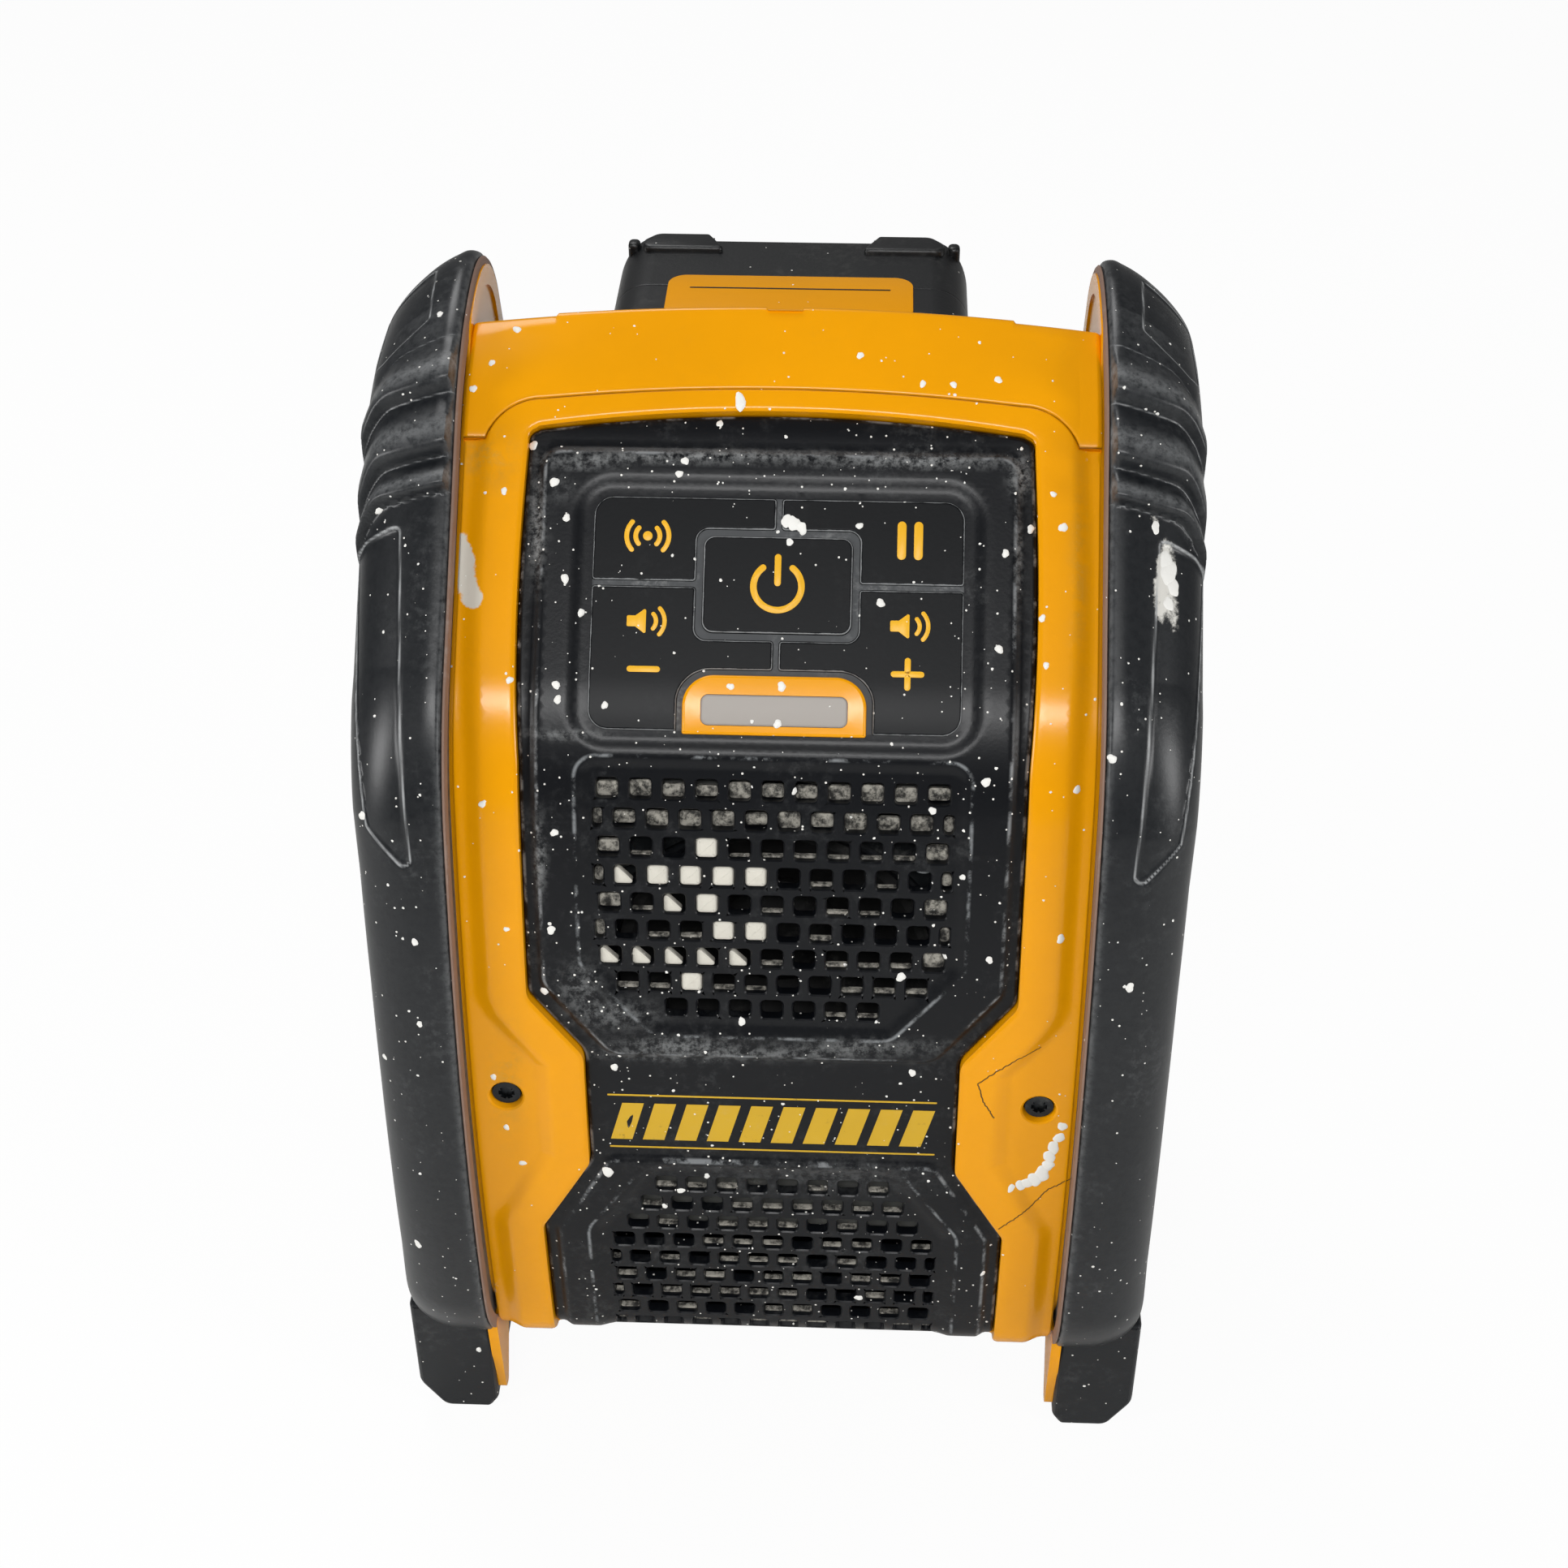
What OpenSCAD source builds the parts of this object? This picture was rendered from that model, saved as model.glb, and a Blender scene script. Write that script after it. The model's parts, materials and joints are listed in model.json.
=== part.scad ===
// Jobsite speaker with a slide-on battery pack.
// Frame: X to the right, Y to the rear, Z up, floor at Z = 0, the front faces -Y.

/* [Body] */
// Width of the body between the two side frames
body_w = 127; // [122:1:140]
// How far the bowed front reaches ahead of the middle
belly_front = 64; // [62:1:68]
// Height of the foremost point of the bowed front
belly_z = 77; // [72:1:84]
// Radius of the bowed front
belly_r = 370; // [340:5:420]
// Height where the bowed front starts to bend back
bend_z = 185.4; // [184:0.2:188]
// Radius of that bend
bend_r = 12; // [9:1:16]
// Angle of the keypad slope above the horizontal
slope_angle = 45; // [43:1:47]
// Length of the keypad slope
slope_len = 59.5; // [57:0.5:62]
// Radius from the slope over to the top
crown_r = 60; // [52:1:70]
// Radius of the lower front edge
chin_r = 16; // [13:1:20]
// Height where the lower front edge starts
chin_z = 34; // [32:1:40]
// Thickness of the front frame and the top cap
skin_t = 5; // [4.5:0.1:6]
// Depth of the frame's outer step below its rim
frame_step = 2.8; // [1.5:0.1:3]
// Width of the raised rim of the frame beside the panel
rim_w = 8.4; // [6:0.2:10]
// Height of the seam between frame and cap beside the guards
seam_z = 231.4; // [229:0.1:232]
// Height of that seam at the middle of its arch
seam_top_z = 238.7; // [237:0.1:240]
// Step of the seam in from the body's side
seam_inset = 3.9; // [3:0.1:6]
// Radius of the sideways crown of the cap
cap_crown_r = 510; // [450:10:700]
// Rear face of the cap and of the battery bay wall
cap_rear = 20; // [18:0.5:21]
// Wall of the rear housing
wall = 3; // [2.4:0.1:3.6]
// Height of the battery bay floor
bay_floor_z = 120; // [112:1:126]
// Rear face of the boot below the battery
boot_rear = 60; // [54:1:63]

/* [Panel] */
// Half width of the black panel
panel_half = 50.2; // [48:0.1:51]
// Half width of its waist
waist_half = 39; // [36:0.5:42]
// Height where the panel starts to narrow to its waist
flare_low_z = 68; // [64:0.5:72]
// Height of the waist's lower end
waist_low_z = 88; // [84:0.5:92]
// Height of the waist's upper end
waist_high_z = 118; // [114:0.5:122]
// Height where the panel is wide again
flare_high_z = 132.5; // [129:0.5:136]
// Height of the panel's top corners
panel_top_z = 232.5; // [230:0.1:233]
// Rise of the panel's arched top edge
panel_top_rise = 2.8; // [2:0.1:4]
// Depth of the panel below the frame's rim
panel_sink = 1; // [0.4:0.1:1.6]
// Thickness of the panel
panel_t = 2.8; // [2.2:0.1:3.2]
// Width of the flange that holds the panel behind the frame
panel_lip = 3.5; // [2:0.1:4]
// Clearance between pieces that fit together
fit = 0.3; // [0.2:0.05:0.5]
// Sideways pitch of the grille holes
hole_px = 6.58; // [6:0.01:7]
// Upright pitch of the grille rows
hole_pz = 6.1; // [5.8:0.05:6.6]
// Size of a grille hole
hole_size = 4.5; // [3.6:0.1:4.8]
// Height of the upper grille's top row
upper_row_z = 178.6; // [177:0.1:180]
// Height of the lower grille's top row
lower_row_z = 81.2; // [79:0.1:83]
// Depth of the grille fields below the panel
field_sink = 0.8; // [0.4:0.1:1.2]

/* [Keypad] */
// Half width of the key field
keys_half = 36.8; // [35:0.1:38]
// Distance up the slope to the key field's lower edge
keys_w0 = 0.2; // [-0.5:0.1:1]
// Distance up the slope to the key field's upper edge
keys_w1 = 47.4; // [46:0.1:48.5]
// Groove between neighbouring keys
key_groove = 0.9; // [0.8:0.1:1.3]
// Width of the power key
power_w = 29.5; // [27:0.1:31]
// Height of the power key up the slope
power_h = 19.4; // [17:0.1:20]
// Distance up the slope to the power key's middle
power_c = 29.9; // [29:0.1:31]
// Groove round the power key
power_groove = 1.3; // [1:0.1:1.6]
// Press travel of a key
key_travel = 1; // [0.6:0.1:1.2]
// Width of the yellow status tab
tab_w = 36.2; // [34:0.1:38]
// Height of the status tab up the slope
tab_h = 11.4; // [10.5:0.1:12]
// Width of the status lens
lens_w = 28.8; // [26:0.1:30]
// Height of the status lens up the slope
lens_h = 6.1; // [5:0.1:6.6]

/* [Guards] */
// Thickness of a guard with its side frame
guard_t = 21; // [18:0.5:22]
// Height where the guard's lower front edge starts
guard_chin_z = 48; // [44:1:54]
// Radius of the guard's lower edges
guard_chin_r = 30; // [24:1:34]
// Share of its thickness that a guard loses towards the floor
low_taper = 0.28; // [0:0.02:0.3]
// How far the guard stands proud of the front
guard_proud = 6; // [4:0.5:8]
// Rearmost face of the guards
guard_rear = 70; // [66:1:74]
// Radius of the guard's tip
tip_r = 26; // [20:1:32]
// Thickness of the yellow side frame
liner_t = 3; // [2.4:0.1:4]
// Width of the rubber rim round the side frame
rubber_rim = 4; // [3:0.1:5]
// Extra taper of the guard towards its tip
tip_taper = 9; // [4:0.5:12]
// Height of the ribs over the guard's shoulder
rib_h = 2; // [0.8:0.1:2.4]
// Distance from rib to rib
rib_pitch = 13.3; // [12:0.1:15]
// Width of a foot
foot_w = 16.6; // [13:0.2:17]
// Front of the front foot ahead of the middle
foot_front = 59; // [56:0.5:62]
// Length of a foot
foot_l = 25; // [20:1:30]

/* [Driver] */
// Height of the driver's middle
driver_z = 131; // [126:1:134]
// Place of the baffle's front face at that height
driver_y = -47; // [-48:0.5:-44]
// Upward tilt of the driver
driver_tilt = 6.5; // [4:0.5:8]
// Radius of the driver's mounting flange
flange_r = 46; // [44:0.5:47]
// Radius of the hole in the baffle
cutout_r = 40; // [39:0.5:41]
// Radius of the magnet pole
pole_r = 12; // [10:0.5:13]
// Thickness of the baffle
baffle_t = 4; // [3:0.5:5]

/* [Battery] */
// Room between the end of a cell and the wall of the pack
cell_room = 3.1; // [2.5:0.1:5]
// Height of the pack's upper end
pack_top = 241; // [236:1:244]
// Clearance between the pack and the bay floor
pack_gap = 2; // [1:0.5:4]
// Half width of the neck of the pack's slide tongue
tongue_half = 21; // [18:0.5:23]
// Overhang of the tongue's flanges
tongue_lip = 5; // [3:0.5:6]
// Corner radius of the pack
pack_r = 8; // [6:0.5:10]
// Wall of the pack's case
pack_wall = 2.4; // [2:0.1:2.8]
// Radius of one cell
cell_r = 9.1; // [8.8:0.1:9.3]
// Length of one cell
cell_l = 65; // [60:1:66]
// Press travel of the pack's latch
latch_travel = 3; // [2:0.5:3.5]

/* [Socket] */
// Sideways place of the audio socket on the rear
socket_x = 30; // [10:1:40]
// Height of the audio socket
socket_z = 72; // [60:1:90]
// Radius of the socket's bore
socket_bore_r = 1.8; // [1.76:0.02:1.85]
// Depth of the socket's bore
socket_depth = 14; // [12:0.5:16]
// Width of the socket's rubber cover
cover_w = 18; // [16:0.5:22]

/* [Hidden] */
$fn = 48;

yellow = "#f0a400";
black = "#24272b";
rubber = "#2a2d31";
steel = "#9aa0a6";
dark_steel = "#3b3e42";
board_green = "#1f5a3a";
far = 300;
eps = 0.01;

// Outline of the bowed front, as arcs and a straight slope.
// A lean of 0 faces the front, 90 faces up, 180 faces the rear and -90 faces down.
function facing(lean) = [-cos(lean), sin(lean)];
function arc(c, r, a0, a1, n) = [for (i = [0 : n]) c + r * facing(a0 + (a1 - a0) * i / n)];
belly_c = [belly_r - belly_front, belly_z];
chin_lean = asin((chin_z - belly_z) / belly_r);
bend_lean = asin((bend_z - belly_z) / belly_r);
slope_lean = 90 - slope_angle;
chin_c = belly_c + (belly_r - chin_r) * facing(chin_lean);
bend_c = belly_c + (belly_r - bend_r) * facing(bend_lean);
slope_up = [sin(slope_lean), cos(slope_lean)];
slope_start = bend_c + bend_r * facing(slope_lean);
slope_end = slope_start + slope_len * slope_up;
crown_c = slope_end - crown_r * facing(slope_lean);
bottom_z = chin_c.y - chin_r;
split_y = chin_c.x;
body_half = body_w / 2;
inner_half = body_half - wall;
seam_half = body_half - seam_inset;
crown_top_z = crown_c.y + crown_r * sqrt(1 - pow((cap_rear - crown_c.x) / crown_r, 2));

function skin_points(d) = concat(
  arc(chin_c, chin_r - d, -90, chin_lean, 8),
  arc(belly_c, belly_r - d, chin_lean, bend_lean, 14),
  arc(bend_c, bend_r - d, bend_lean, slope_lean, 4),
  arc(crown_c, crown_r - d, slope_lean, 90, 10),
  [[far, crown_c.y + crown_r - d], [far, bottom_z + d]]);

// Places along the guard's outline, each with the lean of its outward normal.
function arc_places(c, r, a0, a1, n) =
  [for (i = [0 : n]) let (a = a0 + (a1 - a0) * i / n) [c + r * facing(a), a]];
guard_top_c = slope_end + (guard_proud - crown_r) * facing(slope_lean);
tip_lean = 85;
back_lean = 160;
shoulder_r = 60;
guard_chin_lean = asin((guard_chin_z - belly_z) / (belly_r + guard_proud));
guard_chin_c = belly_c + (belly_r + guard_proud - guard_chin_r) * facing(guard_chin_lean);
tip_c = guard_top_c + (crown_r - tip_r) * facing(tip_lean);
back_y = guard_rear - shoulder_r;
back_run = (back_y - tip_c.x + (shoulder_r - tip_r) * facing(back_lean).x) / facing(back_lean).y;
back_c = [back_y, tip_c.y + (tip_r - shoulder_r) * facing(back_lean).y - back_run * facing(back_lean).x];
// Steps along the slope: wide at its foot, narrow under the ribs.
slope_steps = concat([for (i = [1 : 8]) 0.066 * i], [for (i = [1 : 13]) 0.528 + 0.0337 * i]);
guard_places = concat(
  arc_places(guard_chin_c, guard_chin_r, -90, guard_chin_lean, 8),
  arc_places(belly_c, belly_r + guard_proud, guard_chin_lean, bend_lean, 14),
  arc_places(bend_c, bend_r + guard_proud, bend_lean, slope_lean, 6),
  [for (t = slope_steps)
    [slope_start + guard_proud * facing(slope_lean) + slope_up * slope_len * t, slope_lean]],
  arc_places(guard_top_c, crown_r, slope_lean, tip_lean, 18),
  arc_places(tip_c, tip_r, tip_lean + 5, back_lean, 10),
  arc_places(back_c, shoulder_r, back_lean, 180, 4),
  arc_places([guard_rear - guard_chin_r, guard_chin_c.y], guard_chin_r, 180, 270, 8));
guard_x0 = body_half + fit;
liner_x1 = body_half + liner_t;

// Cross-section of the guard: distance out from the body, and inset from the outline.
guard_face = guard_t - fit;
guard_section = [[0, 0.8], [1, 0], [4, 0], [7, 0], [11.5, 0.6], [15.5, 2.2], [guard_face - 2.2, 4.2],
  [guard_face - 0.6, 6.8], [guard_face - 0.1, 9.5]];
low_z = 130;
function width_share(z) = 1 - low_taper * max(0, 1 - z / low_z);
function tip_share(a) = max(0, cos(a - 105));
tip_round = 4.5;
rib_first = 36;
rib_skew = 0.2;
rib_fall = 0.22;
function slope_place(p) = (p - slope_start) * slope_up;
function rib_form(f) = rib_h * (f < rib_fall ? pow(sin(90 * f / rib_fall), 2)
  : pow(cos(90 * (f - rib_fall) / (1 - rib_fall)), 2));
function rib(s, u) = let (v = s - rib_first - rib_skew * (guard_t - u), k = floor(v / rib_pitch))
  v < 0 || k > 2 ? 0 : rib_form(v / rib_pitch - k);
function guard_ring(x, inset) = [for (q = guard_places)
  let (u = x / guard_t, lift = x > 2 ? rib(slope_place(q[0]), x) : 0,
    near_slope = abs(q[1] - slope_lean) < 30 ? 1 : 0,
    d = inset + (tip_taper * u + tip_round * pow(max(0, 1 - x / 5), 2)) * tip_share(q[1]) - lift * near_slope,
    p = q[0] - d * facing(q[1]))
  [guard_x0 + (x > liner_t + 1 ? x * width_share(p.y) : x), p.x, p.y]];

// Rounded rectangle, centred, with true round corners.
module rounded(size, r) {
  square([size.x - 2 * r, size.y], center = true);
  square([size.x, size.y - 2 * r], center = true);
  for (sx = [-1, 1], sy = [-1, 1])
    translate([sx * (size.x / 2 - r), sy * (size.y / 2 - r)])
      circle(r);
}

// Prism along X of a side view (Y, Z), centred on the middle plane.
module x_prism(w) {
  rotate([90, 0, 90])
    linear_extrude(w, center = true)
      children();
}

// Prism along X of a side view (Y, Z), from x0 to x1.
module x_slab(x0, x1) {
  translate([x0, 0, 0])
    rotate([90, 0, 90])
      linear_extrude(x1 - x0)
        children();
}

// Prism along Y of a front view (X, Z), from y0 to y1.
module y_slab(y0, y1) {
  translate([0, y1, 0])
    rotate([90, 0, 0])
      linear_extrude(y1 - y0)
        children();
}

module skin_solid(d, w) {
  x_prism(w)
    polygon(skin_points(d));
}

// Layer of the front skin between two depths, as wide as w.
module skin_layer(d0, d1, w) {
  x_prism(w)
    difference() {
      polygon(skin_points(d0));
      polygon(skin_points(d1));
    }
}

// Everything under the sideways crown of the cap, lowered by d.
module under_crown(d) {
  translate([0, -far / 2, crown_top_z - cap_crown_r])
    rotate([-90, 0, 0])
      cylinder(r = cap_crown_r - d, h = far, $fn = 96);
}

// Arched top edge from (-half, z) to (half, z), with a rise at the middle.
function arch(half, z, rise) = let (r = (half * half + rise * rise) / (2 * rise), a = asin(half / r))
  [for (i = [0 : 12]) let (t = a - 2 * a * i / 12) [r * sin(t), z + rise - r + r * cos(t)]];

function mirrored(pts) = [for (i = [len(pts) - 1 : -1 : 0]) [-pts[i].x, pts[i].y]];

// Front view of the black panel, grown by g; the sloping edges move out by the same distance.
flare_shift = 0.4;
view_low_z = -10;
module panel_view(g) {
  wide = panel_half + g;
  narrow = waist_half + g;
  shift = g * flare_shift;
  side = [[wide, view_low_z], [wide, flare_low_z + shift], [narrow, waist_low_z + shift],
    [narrow, waist_high_z - shift], [wide, flare_high_z - shift]];
  polygon(concat(side, arch(wide, panel_top_z + g, panel_top_rise), mirrored(side)));
}

// Front view of the frame, up to its seam with the cap.
seam_corner_r = 8;
seam_rise = 1.7;
module frame_view() {
  arch_half = seam_half - seam_corner_r;
  corner_z = seam_top_z - seam_rise - seam_corner_r;
  corner = [for (i = [0 : 6]) [arch_half, corner_z] + seam_corner_r * [cos(i * 14), sin(i * 14)]];
  side = concat([[body_half, view_low_z], [body_half, seam_z], [seam_half, seam_z]], corner);
  polygon(concat(side, [[0, seam_top_z]], mirrored(side)));
}

front_screw_x = body_half - 7.2;
front_screw_z = 106;
front_screw_r = 1.7;
front_screw_head_r = 3;
front_head_z = belly_front - frame_step - 2.4;

module front_screw_places() {
  for (sx = [-1, 1])
    translate([sx * front_screw_x, 0, front_screw_z])
      rotate([90, 0, 0])
        children();
}

module front_frame() {
  color(yellow)
    difference() {
      union() {
        intersection() {
          skin_layer(frame_step, skin_t, body_w);
          front_zone()
            frame_view();
        }
        intersection() {
          skin_layer(0, skin_t, 2 * (panel_half + rim_w));
          front_zone()
            rim_view();
        }
      }
      y_slab(-far, far)
        panel_view(fit);
      front_screw_places()
        cylinder(r = front_screw_r + fit, h = far);
      front_screw_places()
        translate([0, 0, front_head_z])
          cylinder(r = front_screw_head_r + fit, h = far);
    }
}

// The raised rim: the panel's outline grown by the rim's width, inside the frame's own view.
module rim_view() {
  intersection() {
    panel_view(rim_w);
    frame_view();
  }
}

upper_counts = [11, 10, 11, 10, 11, 10, 11, 10, 7];
lower_counts = [8, 9, 10, 11, 12, 11, 12, 11, 12];

// One field of grille holes: rows of the given counts, downwards from z.
module grille_holes(z, counts) {
  for (row = [0 : len(counts) - 1], i = [0 : counts[row] - 1])
    translate([(i - (counts[row] - 1) / 2) * hole_px, z - row * hole_pz])
      square(hole_size, center = true);
}

field_half = 5.5 * hole_px;

// Front views of the two sunken grille fields, with their cut corners.
module grille_fields() {
  upper_top = upper_row_z + hole_pz / 2;
  upper_low = upper_row_z - 8.5 * hole_pz;
  polygon([[-field_half, upper_top], [field_half, upper_top], [field_half, upper_low + 15],
    [field_half - 14, upper_low], [14 - field_half, upper_low], [-field_half, upper_low + 15]]);
  lower_top = lower_row_z + hole_pz / 2;
  polygon([[14 - field_half, lower_top], [field_half - 14, lower_top], [field_half, lower_top - 18],
    [field_half, -10], [-field_half, -10], [-field_half, lower_top - 18]]);
}

// Frame of the keypad: X across, Y up the slope, Z out of the slope.
module at_keypad() {
  translate([0, slope_start.x, slope_start.y])
    rotate([slope_angle, 0, 0])
      children();
}

keys_mid = (keys_w0 + keys_w1) / 2;
keys_h = keys_w1 - keys_w0;
keys_r = 4;
panel_back = panel_sink + panel_t;
skirt_t = 1.6;
post_screw_r = 1.1;
carrier_z = 9.4;
carrier_t = 1.2;
board_z = 17;
board_t = 1.6;
post_r = 3.2;
post_x = 42;
post_w = [5, 45];
key_x = 26;
key_w = [13.8, 38.7];
stem_r = 2.6;
stem_end = carrier_z + carrier_t + 1.2;

module keys_view(g) {
  translate([0, keys_mid])
    rounded([2 * (keys_half + g), keys_h + 2 * g], keys_r + g);
}

module post_places() {
  for (sx = [-1, 1], w = post_w)
    translate([sx * post_x, w, 0])
      children();
}

module stem_places() {
  for (sx = [-1, 1], w = key_w)
    translate([sx * key_x, w, 0])
      children();
  translate([0, power_c, 0])
    children();
}

module front_panel() {
  color(black)
    difference() {
      union() {
        intersection() {
          skin_layer(panel_sink, panel_back, body_w);
          front_zone()
            panel_view(0);
        }
        intersection() {
          skin_layer(panel_back - eps, skin_t, body_w);
          front_zone()
            difference() {
              panel_view(0);
              panel_view(-skirt_t);
            }
        }
        intersection() {
          skin_layer(skin_t, skin_t + skirt_t, body_w);
          front_zone(cap_rear - 3 * wall)
            difference() {
              panel_view(panel_lip);
              panel_view(-skirt_t);
            }
        }
        at_keypad()
          post_places()
            translate([0, 0, -carrier_z])
              cylinder(r = post_r, h = carrier_z - panel_back + 0.2);
      }
      intersection() {
        skin_layer(-5, panel_sink + field_sink, body_w);
        y_slab(-far, split_y)
          grille_fields();
      }
      y_slab(-far, split_y - 1) {
        intersection() {
          grille_holes(upper_row_z, upper_counts);
          square([2 * (field_half - fit), far * 2], center = true);
        }
        intersection() {
          grille_holes(lower_row_z, lower_counts);
          square([2 * (field_half - fit), far * 2], center = true);
        }
      }
      at_keypad() {
        translate([0, 0, -skin_t])
          linear_extrude(2 * skin_t)
            keys_view(fit);
        post_places()
          translate([0, 0, -carrier_z - 1])
            cylinder(r = post_screw_r, h = carrier_z - panel_back);
      }
    }
}

// The part of a front view that belongs to the front, from the chin over the slope.
zone_z = (belly_z + bend_z) / 2;
module front_zone(rear = cap_rear) {
  y_slab(-far, split_y)
    children();
  intersection() {
    y_slab(split_y - eps, rear)
      children();
    translate([-far / 2, split_y - eps, zone_z])
      cube([far, far, far]);
  }
}

module top_cap() {
  color(yellow)
    difference() {
      intersection() {
        skin_layer(0, skin_t, body_w);
        under_crown(0);
        translate([-far / 2, -far / 2, seam_z - 12])
          cube([far, far / 2 + cap_rear, far]);
      }
      y_slab(-far, far)
        frame_view();
      translate([-far / 2, -far, 0])
        cube([far, 2 * far, seam_z]);
      catch_groove();
    }
}

pack_w = cell_l + 2 * (pack_wall + cell_room);
pack_half = pack_w / 2;
rail_root = tongue_half + tongue_lip + 2 * fit;
rail_w = 5;
tongue_y = cap_rear + 2 * fit;
tongue_t = 2.6;
rail_lip_y = tongue_y + tongue_t + fit;
rail_lip_t = 2.4;
pack_y0 = rail_lip_y + rail_lip_t + 2 * fit;
pack_y1 = guard_rear;
pack_z0 = bay_floor_z + pack_gap;
rail_z1 = 212;

// Side view of the rear housing's outside, inset by g at its rear and floor.
module housing_view(g) {
  polygon([[-far, bottom_z + g], [boot_rear - g, bottom_z + g], [boot_rear - g, bay_floor_z - g],
    [cap_rear - g, bay_floor_z - g], [cap_rear - g, far], [-far, far]]);
}

boss_r = 5;
boss_back = -30;
board_x = 44;
board_z0 = 142;
board_z1 = 200;
board_y = 8;
standoff_r = 3.2;

module board_places() {
  for (sx = [-1, 1], z = [board_z0 + 5, board_z1 - 5])
    translate([sx * (board_x - 5), 0, z])
      rotate([-90, 0, 0])
        children();
}

rear_screw_x = inner_half - 8.5;
rear_screw_r = 1.8;
rear_head_r = 3.1;
side_screw_r = 1.6;
socket_r = 4;
socket_boss_r = 8;
socket_boss_h = 5;
board_screw_r = 1.25;
rear_screw_z = [38, bay_floor_z - 14];

module rear_screw_places() {
  for (sx = [-1, 1], z = rear_screw_z)
    translate([sx * rear_screw_x, boot_rear, z])
      rotate([90, 0, 0])
        children();
}

side_screw_places = [[-24, 62], [36, 62], [-14, 172], [6, 205]];

module at_side_screws() {
  for (q = side_screw_places)
    translate([0, q.x, q.y])
      rotate([0, 90, 0])
        children();
}

// Side view of the battery bay: its floor and its wall.
module bay_view(g) {
  translate([cap_rear - wall - g, bay_floor_z - wall - g])
    square([far, far]);
}

// Side view of the back cover, the boot's rear wall, up to the height z.
module cover_view(g, z) {
  translate([boot_rear - wall - g, bottom_z + wall - g])
    square([far, z - bottom_z - wall + g]);
}

// The whole rear shell, before it is parted into housing, battery bay and back cover.
module rear_shell() {
  difference() {
    intersection() {
      union() {
        skin_solid(skin_t, body_w);
        intersection() {
          skin_solid(0, body_w);
          translate([-far, split_y, 0])
            cube([2 * far, far, bay_floor_z]);
        }
      }
      x_prism(body_w)
        housing_view(0);
      under_crown(skin_t);
    }
    x_prism(2 * inner_half)
      housing_view(wall);
  }
}

// Blocks on the side walls that take the back cover's screws; the upper two also carry the bay's floor.
cover_boss_w = 5;
cover_boss_l = 12;
module cover_bosses() {
  for (sx = [-1, 1], z = rear_screw_z)
    mirror([sx < 0 ? 1 : 0, 0, 0])
      translate([rear_screw_x - cover_boss_w, boot_rear - wall - cover_boss_l, z - cover_boss_w])
        cube([inner_half - rear_screw_x + cover_boss_w + wall / 2, cover_boss_l - fit,
          (z > rear_screw_z[0] ? bay_floor_z - wall - fit / 4 - z : cover_boss_w) + cover_boss_w]);
}

module rear_housing() {
  color(black)
    difference() {
      union() {
        difference() {
          rear_shell();
          x_prism(2 * inner_half) {
            bay_view(fit);
            cover_view(fit, bay_floor_z);
          }
        }
        intersection() {
          front_screw_places()
            cylinder(r = boss_r, h = far);
          skin_solid(skin_t, body_w);
          translate([-far, -far, 0])
            cube([2 * far, far + boss_back, far]);
        }
        cover_bosses();
      }
      front_screw_places()
        translate([0, 0, -boss_back + 4])
          cylinder(r = front_screw_r, h = far);
      rear_screw_places()
        cylinder(r = rear_screw_r, h = wall + cover_boss_l - 2);
      for (sx = [-1, 1])
        translate([sx * body_half, 0, 0])
          at_side_screws()
            cylinder(r = side_screw_r + fit, h = 4 * wall, center = true);
    }
}

// The bay: an angle of floor and wall with two rails, which stands on the upper cover blocks.
module battery_bay() {
  color(black)
    difference() {
      union() {
        intersection() {
          rear_shell();
          x_prism(2 * (inner_half - fit / 2))
            bay_view(0);
        }
        board_places()
          translate([0, 0, board_y + board_t])
            cylinder(r = standoff_r, h = cap_rear - wall - board_y - board_t + 0.2);
        for (sx = [-1, 1])
          rail(sx);
      }
      board_places()
        translate([0, 0, board_y])
          cylinder(r = board_screw_r, h = 7);
      catch_groove();
    }
}

// The boot's flat rear wall, with the boss of the audio socket.
module back_cover() {
  color(black)
    difference() {
      union() {
        intersection() {
          rear_shell();
          x_prism(2 * (inner_half - fit / 2))
            cover_view(0, bay_floor_z - wall - fit / 2);
        }
        translate([socket_x, boot_rear - wall, socket_z])
          rotate([90, 0, 0])
            cylinder(r = socket_boss_r, h = socket_boss_h);
      }
      rear_screw_places() {
        translate([0, 0, -1])
          cylinder(r = rear_screw_r + fit / 2, h = 20);
        translate([0, 0, -1])
          cylinder(r = rear_head_r + fit, h = 2.2);
      }
      translate([socket_x, boot_rear + 1, socket_z])
        rotate([90, 0, 0])
          cylinder(r = socket_r + fit, h = 20);
      hinge_relief();
    }
}

// One rail of the battery bay: a root on the wall and a lip over the pack's tongue.
module rail(sx) {
  mirror([sx < 0 ? 1 : 0, 0, 0]) {
    translate([rail_root, cap_rear - 0.2, bay_floor_z - 0.2])
      cube([rail_w, rail_lip_y + rail_lip_t - cap_rear + 0.2, rail_z1 - bay_floor_z]);
    translate([tongue_half + 2 * fit, rail_lip_y, bay_floor_z - 0.2])
      cube([rail_root - tongue_half, rail_lip_t, rail_z1 - bay_floor_z]);
  }
}

latch_half = 15;
latch_z0 = 221;
hook_half = 3;
hook_h = 1;

// Groove in the bay wall and the cap's rear edge for the latch's hook.
module catch_groove() {
  translate([-hook_half - 2 * fit, cap_rear - hook_h, latch_z0 - 1])
    cube([2 * hook_half + 4 * fit, hook_h + 1, far]);
}

// Legs of the side frame, one over each foot.
leg_z = 7;
module leg_view(g) {
  for (m = [0, 1])
    mirror([m, 0])
      translate([-foot_front + 2 - g, leg_z - g])
        square([foot_l - 4 + 2 * g, 40]);
}

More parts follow.
